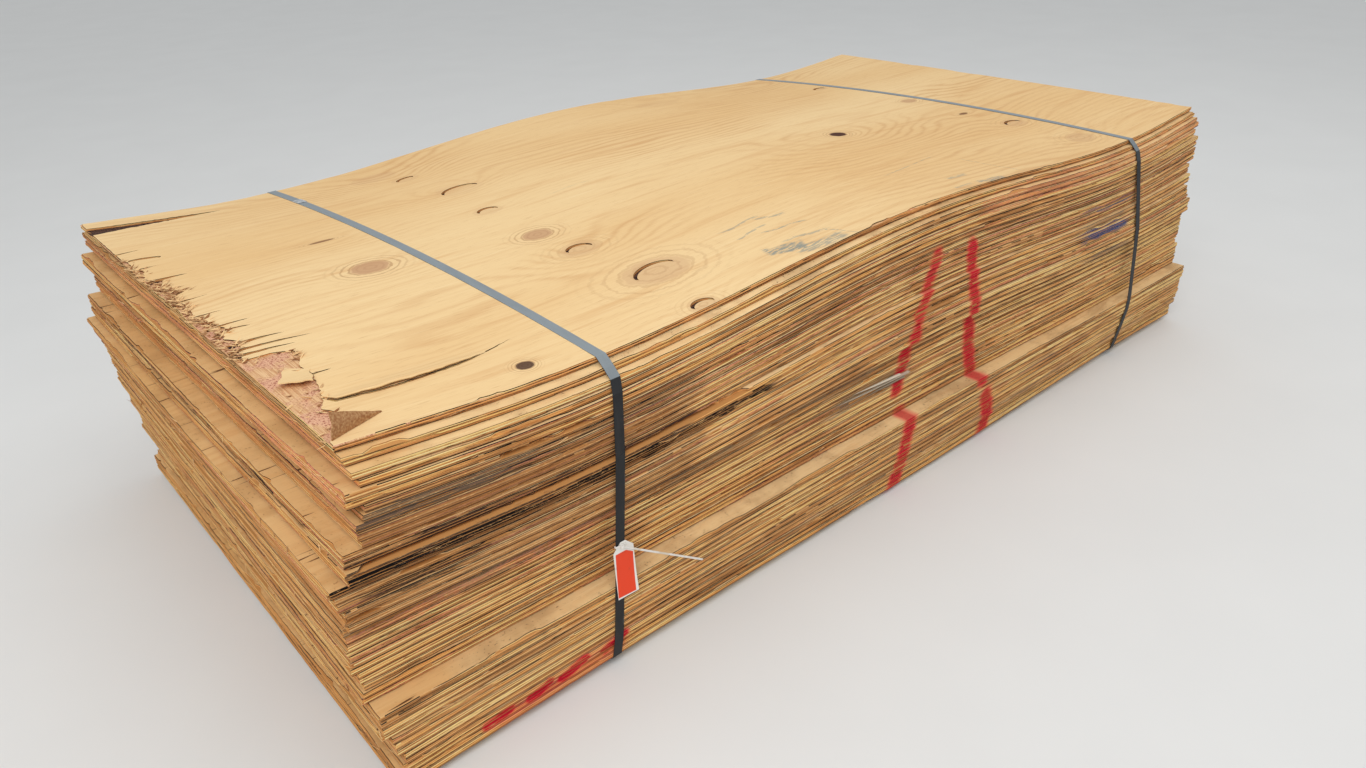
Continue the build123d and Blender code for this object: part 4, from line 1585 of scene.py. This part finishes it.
    def on_top(self, top: TopSheet, material: bpy.types.Material, count: int = 520) -> None:
        """Tufts of torn fibre along the top sheet's left end.

        Args:
            top: The top sheet.
            material: The fibres' material.
            count: How many there are.
        """
        chance = np.random.default_rng(self.seed + 1)
        roots, aims, lengths, widths = [], [], [], []
        while len(roots) < count:
            across = chance.uniform(-600, 330)
            edge = float(top.tear(np.array([across * MM]))[0]) / MM
            busy = math.exp(-((across - 20) ** 2) / 190**2) + 0.5 * math.exp(-((across + 240) ** 2) / 60**2) + 0.12
            if chance.uniform() > busy:
                continue
            bare = chance.uniform(0, max(1.0, edge + 1216)) if chance.uniform() < 0.4 else chance.uniform(-6, 8)
            along = edge - bare
            height = float(top.top(np.array([along]), np.array([across]))[0]) - chance.uniform(0.2, 2.2) * MM
            roots.append((datum.along(along), datum.across(across), height))
            aims.append((-1.0 if chance.uniform() > 0.25 else 0.7, chance.uniform(-0.9, 0.9), chance.uniform(0.02, 0.42)))
            lengths.append(chance.uniform(0.005, 0.02))
            widths.append(chance.uniform(0.0018, 0.0055))
        self.lay("fibre_tufts", np.array(roots), np.array(aims), np.array(lengths), np.array(widths), material)


@dataclass(frozen=True)
class FibreFinish:
    """Torn wood fibre, from pale to rusty brown."""

    pale: Colour = srgb(236, 196, 142)
    rusty: Colour = srgb(150, 98, 60)

    def material(self) -> bpy.types.Material:
        """The splinters' material."""
        graph = Graph("torn_fibre")
        streaks = graph.noise(graph.place(), 300.0, 2.0)
        tone = graph.attribute("tone") * 0.8 + streaks * 0.5 - 0.15
        return graph.surface({
            "Base Color": graph.mix(tone.rise(0.25, 0.85), self.pale, self.rusty), "Roughness": 0.85,
            "Specular IOR Level": 0.2, "Normal": graph.bump(streaks, 0.4, 0.0006),
        })


# ---------------------------------------------------------------- straps, tag and bearers
@dataclass(frozen=True)
class StrapFinish:
    """Black waxed steel band, rubbed at its edges, with a painted sky reflection where it faces up."""

    black: Colour = srgb(17, 18, 21)
    # Painted reflection of the sky on the band's upper faces.
    sky_reflection: Colour = srgb(136, 144, 148)
    rubbed: Colour = srgb(92, 96, 98)

    def material(self) -> bpy.types.Material:
        """The straps' material."""
        graph = Graph("strap_steel")
        _, _, towards_up = graph.facing()
        along, across, up = graph.parts(graph.place())
        scuffs = graph.noise(graph.vector(along * 90.0, across * 14.0, up * 14.0), 1.0, 4.0, 0.7)
        fine = graph.noise(graph.place(), 420.0, 2.0)
        # Painted reflection: faces turned up take a pale blue-grey for the sky's reflection, broken by the scuffs.
        dust = towards_up.rise(0.15, 0.95) * (0.72 + 0.5 * scuffs)
        tint = graph.mix(dust, self.black, self.sky_reflection)
        tint = graph.mix(scuffs.rise(0.62, 0.74) * 0.5, tint, self.rubbed)
        return graph.surface({
            "Base Color": tint, "Roughness": 0.36 + 0.3 * scuffs, "Specular IOR Level": 0.4,
            "Normal": graph.bump(scuffs + fine * 0.4, 0.15, 0.0004),
        })


@dataclass(frozen=True)
class SealFinish:
    """Zinc-plated seal, dull and scratched."""

    zinc: Colour = srgb(206, 210, 212)
    dull: Colour = srgb(150, 154, 156)

    def material(self) -> bpy.types.Material:
        """The seals' material."""
        graph = Graph("seal_steel")
        blotches = graph.noise(graph.place(), 160.0, 3.0, 0.7)
        scratches = graph.noise(graph.place(), 900.0, 2.0)
        return graph.surface({
            "Base Color": graph.mix(blotches.rise(0.4, 0.65), self.zinc, self.dull), "Metallic": 0.45,
            "Roughness": 0.35 + 0.3 * blotches, "Normal": graph.bump(scratches + blotches, 0.25, 0.0004),
        })


@dataclass(frozen=True)
class BearerFinish:
    """Weathered grey-brown board."""

    grey: Colour = srgb(134, 130, 112)
    brown: Colour = srgb(92, 82, 62)

    def material(self) -> bpy.types.Material:
        """The bearers' material."""
        graph = Graph("bearer_wood")
        along, across, up = graph.parts(graph.place())
        grain = graph.noise(graph.vector(along * 130.0, across * 5.0, up * 130.0), 1.0, 4.0, 0.65)
        dirt = graph.noise(graph.place(), 14.0, 3.0)
        tint = graph.mix(grain.rise(0.35, 0.65), self.grey, self.brown)
        tint = graph.mix(dirt.rise(0.45, 0.7) * 0.5, tint, srgb(66, 60, 50))
        return graph.surface({
            "Base Color": tint, "Roughness": 0.9, "Specular IOR Level": 0.15,
            "Normal": graph.bump(grain, 0.6, 0.0015),
        })


@dataclass(frozen=True)
class CardFinish:
    """Coated card: an orange field with a white border and a white pointed top, and no print."""

    orange: Colour = srgb(238, 66, 22)
    white: Colour = srgb(238, 234, 226)

    def material(self) -> bpy.types.Material:
        """The tag's material, placed by the shares kept on its mesh."""
        graph = Graph("tag_card")
        side, height = graph.attribute("card_side"), graph.attribute("card_height")
        creases = graph.noise(graph.place(), 70.0, 3.0, 0.6)
        field_of_orange = side.within(0.09, 0.88, 0.012) * height.within(0.03, 0.82, 0.008)
        slope = (height + 0.28 * side).within(-1.0, 0.98, 0.01)
        tint = graph.mix(field_of_orange * slope, self.white, self.orange)
        tint = graph.mix(creases.rise(0.6, 0.72) * 0.25, tint, srgb(150, 70, 50))
        return graph.surface({
            "Base Color": tint, "Roughness": 0.42 + 0.2 * creases, "Specular IOR Level": 0.4,
            "Normal": graph.bump(creases, 0.2, 0.0008),
        })


@dataclass(frozen=True)
class NylonFinish:
    """White nylon, slightly yellowed."""

    white: Colour = srgb(232, 226, 218)
    yellow: Colour = srgb(214, 200, 178)

    def material(self) -> bpy.types.Material:
        """The cable tie's material."""
        graph = Graph("tie_nylon")
        blotches = graph.noise(graph.place(), 60.0, 2.0)
        ribs = graph.noise(graph.place(), 1200.0, 1.0)
        return graph.surface({
            "Base Color": graph.mix(blotches.rise(0.45, 0.7), self.white, self.yellow), "Roughness": 0.4,
            "Normal": graph.bump(ribs, 0.15, 0.0003),
        })


@dataclass
class Straps:
    """The two steel bands, rounded where they bend."""

    bend_radius: float = 5 * MM
    sharpest: float = 12.0

    def band(self, side: str, material: bpy.types.Material) -> None:
        """Copies a band's node and rounds its bends.

        Args:
            side: Which band, left or right.
            material: Its material.
        """
        piece = copy_node(f"strap_{side}", f"band_{side}")
        bends = self.bends(piece)
        choose_edges(piece, lambda first, second: False)
        bpy.ops.object.mode_set(mode="OBJECT")
        for index in bends:
            piece.data.edges[index].select = True
        bpy.ops.object.mode_set(mode="EDIT")
        bpy.ops.mesh.bevel(offset=self.bend_radius, segments=4, affect="EDGES", clamp_overlap=True)
        bpy.ops.object.mode_set(mode="OBJECT")
        bpy.ops.object.shade_smooth_by_angle(angle=math.radians(24))
        finish_piece(piece, (material,), "strap_steel", f"strap_{side}")

    def bends(self, piece: bpy.types.Object) -> list[int]:
        """Edges across a band at which it bends.

        Args:
            piece: The band.

        Returns:
            The edges' numbers.
        """
        sides: dict[tuple[int, int], list[Vector]] = {}
        for face in piece.data.polygons:
            for key in face.edge_keys:
                sides.setdefault(key, []).append(face.normal)
        found = []
        for edge in piece.data.edges:
            first, second = (piece.data.vertices[corner].co for corner in edge.vertices)
            run = second - first
            normals = sides[tuple(sorted(edge.vertices))]
            if abs(run.x) > 15 * MM and len(normals) == 2:
                if math.degrees(normals[0].angle(normals[1])) > self.sharpest:
                    found.append(edge.index)
        return found

    def build(self) -> None:
        """Builds both bands and dresses their seals."""
        steel, zinc = StrapFinish().material(), SealFinish().material()
        for side in ("left", "right"):
            self.band(side, steel)
            dress_node(f"seal_{side}", zinc)


@dataclass
class Label:
    """The orange card and the nylon tie that holds it."""

    curl: float = 5 * MM

    def card(self, material: bpy.types.Material) -> None:
        """Copies the card's node, divides it and lets it curl.

        Args:
            material: The card's material.
        """
        piece = copy_node("tag", "tag_card")
        bpy.ops.object.mode_set(mode="EDIT")
        bpy.ops.mesh.select_all(action="SELECT")
        bpy.ops.mesh.subdivide(number_cuts=3)
        bpy.ops.object.mode_set(mode="OBJECT")
        points = read_points(piece)
        middle = points.mean(axis=0)
        _, _, axes = np.linalg.svd(points - middle, full_matrices=False)
        up = axes[0] * (1 if axes[0][2] > 0 else -1)
        side = axes[1] * (1 if axes[1][0] > 0 else -1)
        heights, sides = (points - middle) @ up, (points - middle) @ side
        height_share = (heights - heights.min()) / np.ptp(heights)
        side_share = (sides - sides.min()) / np.ptp(sides)
        outward = np.array((0.0, -1.0, 0.0))
        low = np.clip(0.8 - height_share, 0, 1)
        points = points + np.outer(self.curl * low**2 * (0.4 + side_share), outward)
        write_points(piece, points)
        for name, values in (("card_height", height_share), ("card_side", side_share)):
            kept = piece.data.attributes.new(name, "FLOAT", "POINT")
            kept.data.foreach_set("value", values.astype(np.float32))
        choose(piece)
        bpy.ops.object.shade_smooth_by_angle(angle=math.radians(30))
        finish_piece(piece, (material,), "tag_card", "tag")

    def tie(self, material: bpy.types.Material) -> None:
        """Copies the tie's node and rounds its edges.

        Args:
            material: The tie's material.
        """
        piece = copy_node("cable_tie", "nylon_tie")
        rounding = piece.modifiers.new("rounding", "BEVEL")
        rounding.width = 0.25 * MM
        rounding.segments = 2
        rounding.limit_method = "ANGLE"
        bpy.ops.object.modifier_apply(modifier=rounding.name)
        bpy.ops.object.shade_smooth_by_angle(angle=math.radians(40))
        finish_piece(piece, (material,), "tie_nylon", "cable_tie")

    def build(self) -> None:
        """Builds the card and its tie."""
        self.card(CardFinish().material())
        self.tie(NylonFinish().material())


def dress_node(node: str, material: bpy.types.Material) -> None:
    """Gives a node that stays as it is its material.

    Args:
        node: The node's name.
        material: Its material.
    """
    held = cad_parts[node].data.materials
    held.clear()
    held.append(material)
    log.info("%s: dressed", node)


# ---------------------------------------------------------------- the studio
@dataclass
class Studio:
    """Pale floor, soft light and the camera at the photograph's viewing angle."""

    lens: float = 25.98
    place: tuple[float, float, float] = (-1582.163, -1704.197, 650.974)
    yaw: float = 41.0269
    pitch: float = 28.5452
    roll: float = -1.9581

    def floor(self) -> None:
        """Lays a pale floor under the stack."""
        choose_none()
        bpy.ops.mesh.primitive_plane_add(size=60.0, location=(0.0, 0.0, 0.0))
        ground = bpy.context.object
        ground.name = "floor"
        graph = Graph("floor")
        grain = graph.noise(graph.place(), 3.0, 3.0)
        ground.data.materials.append(graph.surface({
            "Base Color": graph.mix(grain, srgb(226, 225, 222), srgb(232, 231, 228)),
            "Roughness": 0.9,
        }))

    def world(self) -> None:
        """Lights the scene from all round, and shows a pale backdrop to the camera."""
        world = bpy.data.worlds.new("studio")
        bpy.context.scene.world = world
        world.use_nodes = True
        background = world.node_tree.nodes["Background"]
        background.inputs["Color"].default_value = (0.94, 0.97, 1.0, 1.0)
        background.inputs["Strength"].default_value = 0.62

    def lamps(self) -> None:
        """Adds one broad lamp above the near left corner."""
        for name, place, aim, size, watts in (
            ("key", (-3.2, -2.6, 4.2), (0.0, 0.0, 0.3), 3.0, 120.0),
            ("top", (1.2, -0.6, 4.6), (0.2, 0.0, 0.3), 4.0, 40.0),
        ):
            data = bpy.data.lights.new(name, "AREA")
            data.size = size
            data.energy = watts
            lamp = bpy.data.objects.new(name, data)
            bpy.context.scene.collection.objects.link(lamp)
            lamp.location = place
            lamp.rotation_euler = (Vector(aim) - Vector(place)).to_track_quat("-Z", "Y").to_euler()

    def camera(self) -> None:
        """Sets the camera where the photograph was taken from."""
        yaw, pitch, roll = (math.radians(angle) for angle in (self.yaw, self.pitch, self.roll))
        ahead = Vector((math.sin(yaw) * math.cos(pitch), math.cos(yaw) * math.cos(pitch), -math.sin(pitch)))
        right = Vector((math.cos(yaw), -math.sin(yaw), 0.0))
        up = right.cross(ahead)
        turned_right = math.cos(roll) * right + math.sin(roll) * up
        turned_up = math.cos(roll) * up - math.sin(roll) * right
        data = bpy.data.cameras.new("camera")
        data.lens = self.lens
        data.sensor_width = 36.0
        camera = bpy.data.objects.new("camera", data)
        bpy.context.scene.collection.objects.link(camera)
        turn = Matrix((turned_right, turned_up, -ahead)).transposed().to_4x4()
        place = (datum.along(self.place[0]), datum.across(self.place[1]), datum.up(self.place[2]))
        camera.matrix_world = Matrix.Translation(place) @ turn
        bpy.context.scene.camera = camera

    def build(self) -> None:
        """Sets up the whole studio."""
        self.floor()
        self.world()
        self.lamps()
        self.camera()
        bpy.context.scene.view_settings.view_transform = "Standard"


def main() -> None:
    """Builds every piece of the stack and its studio."""
    logging.basicConfig(level=logging.INFO, format="%(message)s", force=True)
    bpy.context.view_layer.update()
    Studio().build()
    plywood = PlywoodFinish()
    top_faces, ledges, edges = plywood.top_material(), plywood.ledge_material(), plywood.edge_material()
    stack = SheetStack()
    stack.build(ledges, edges)
    top = TopSheet()
    top.build(stack, top_faces, edges)
    torn_fibre = FibreFinish().material()
    fibres = Fibres()
    fibres.on_sides(torn_fibre)
    fibres.on_top(top, torn_fibre)
    fibres.big_splinter(FibreFinish(pale=srgb(216, 206, 186), rusty=srgb(172, 160, 140)).material())
    top.flap(torn_fibre)
    Straps().build()
    Label().build()
    board = BearerFinish().material()
    for side in ("left", "right"):
        dress_node(f"bearer_{side}", board)


if __name__ == "__main__":
    main()
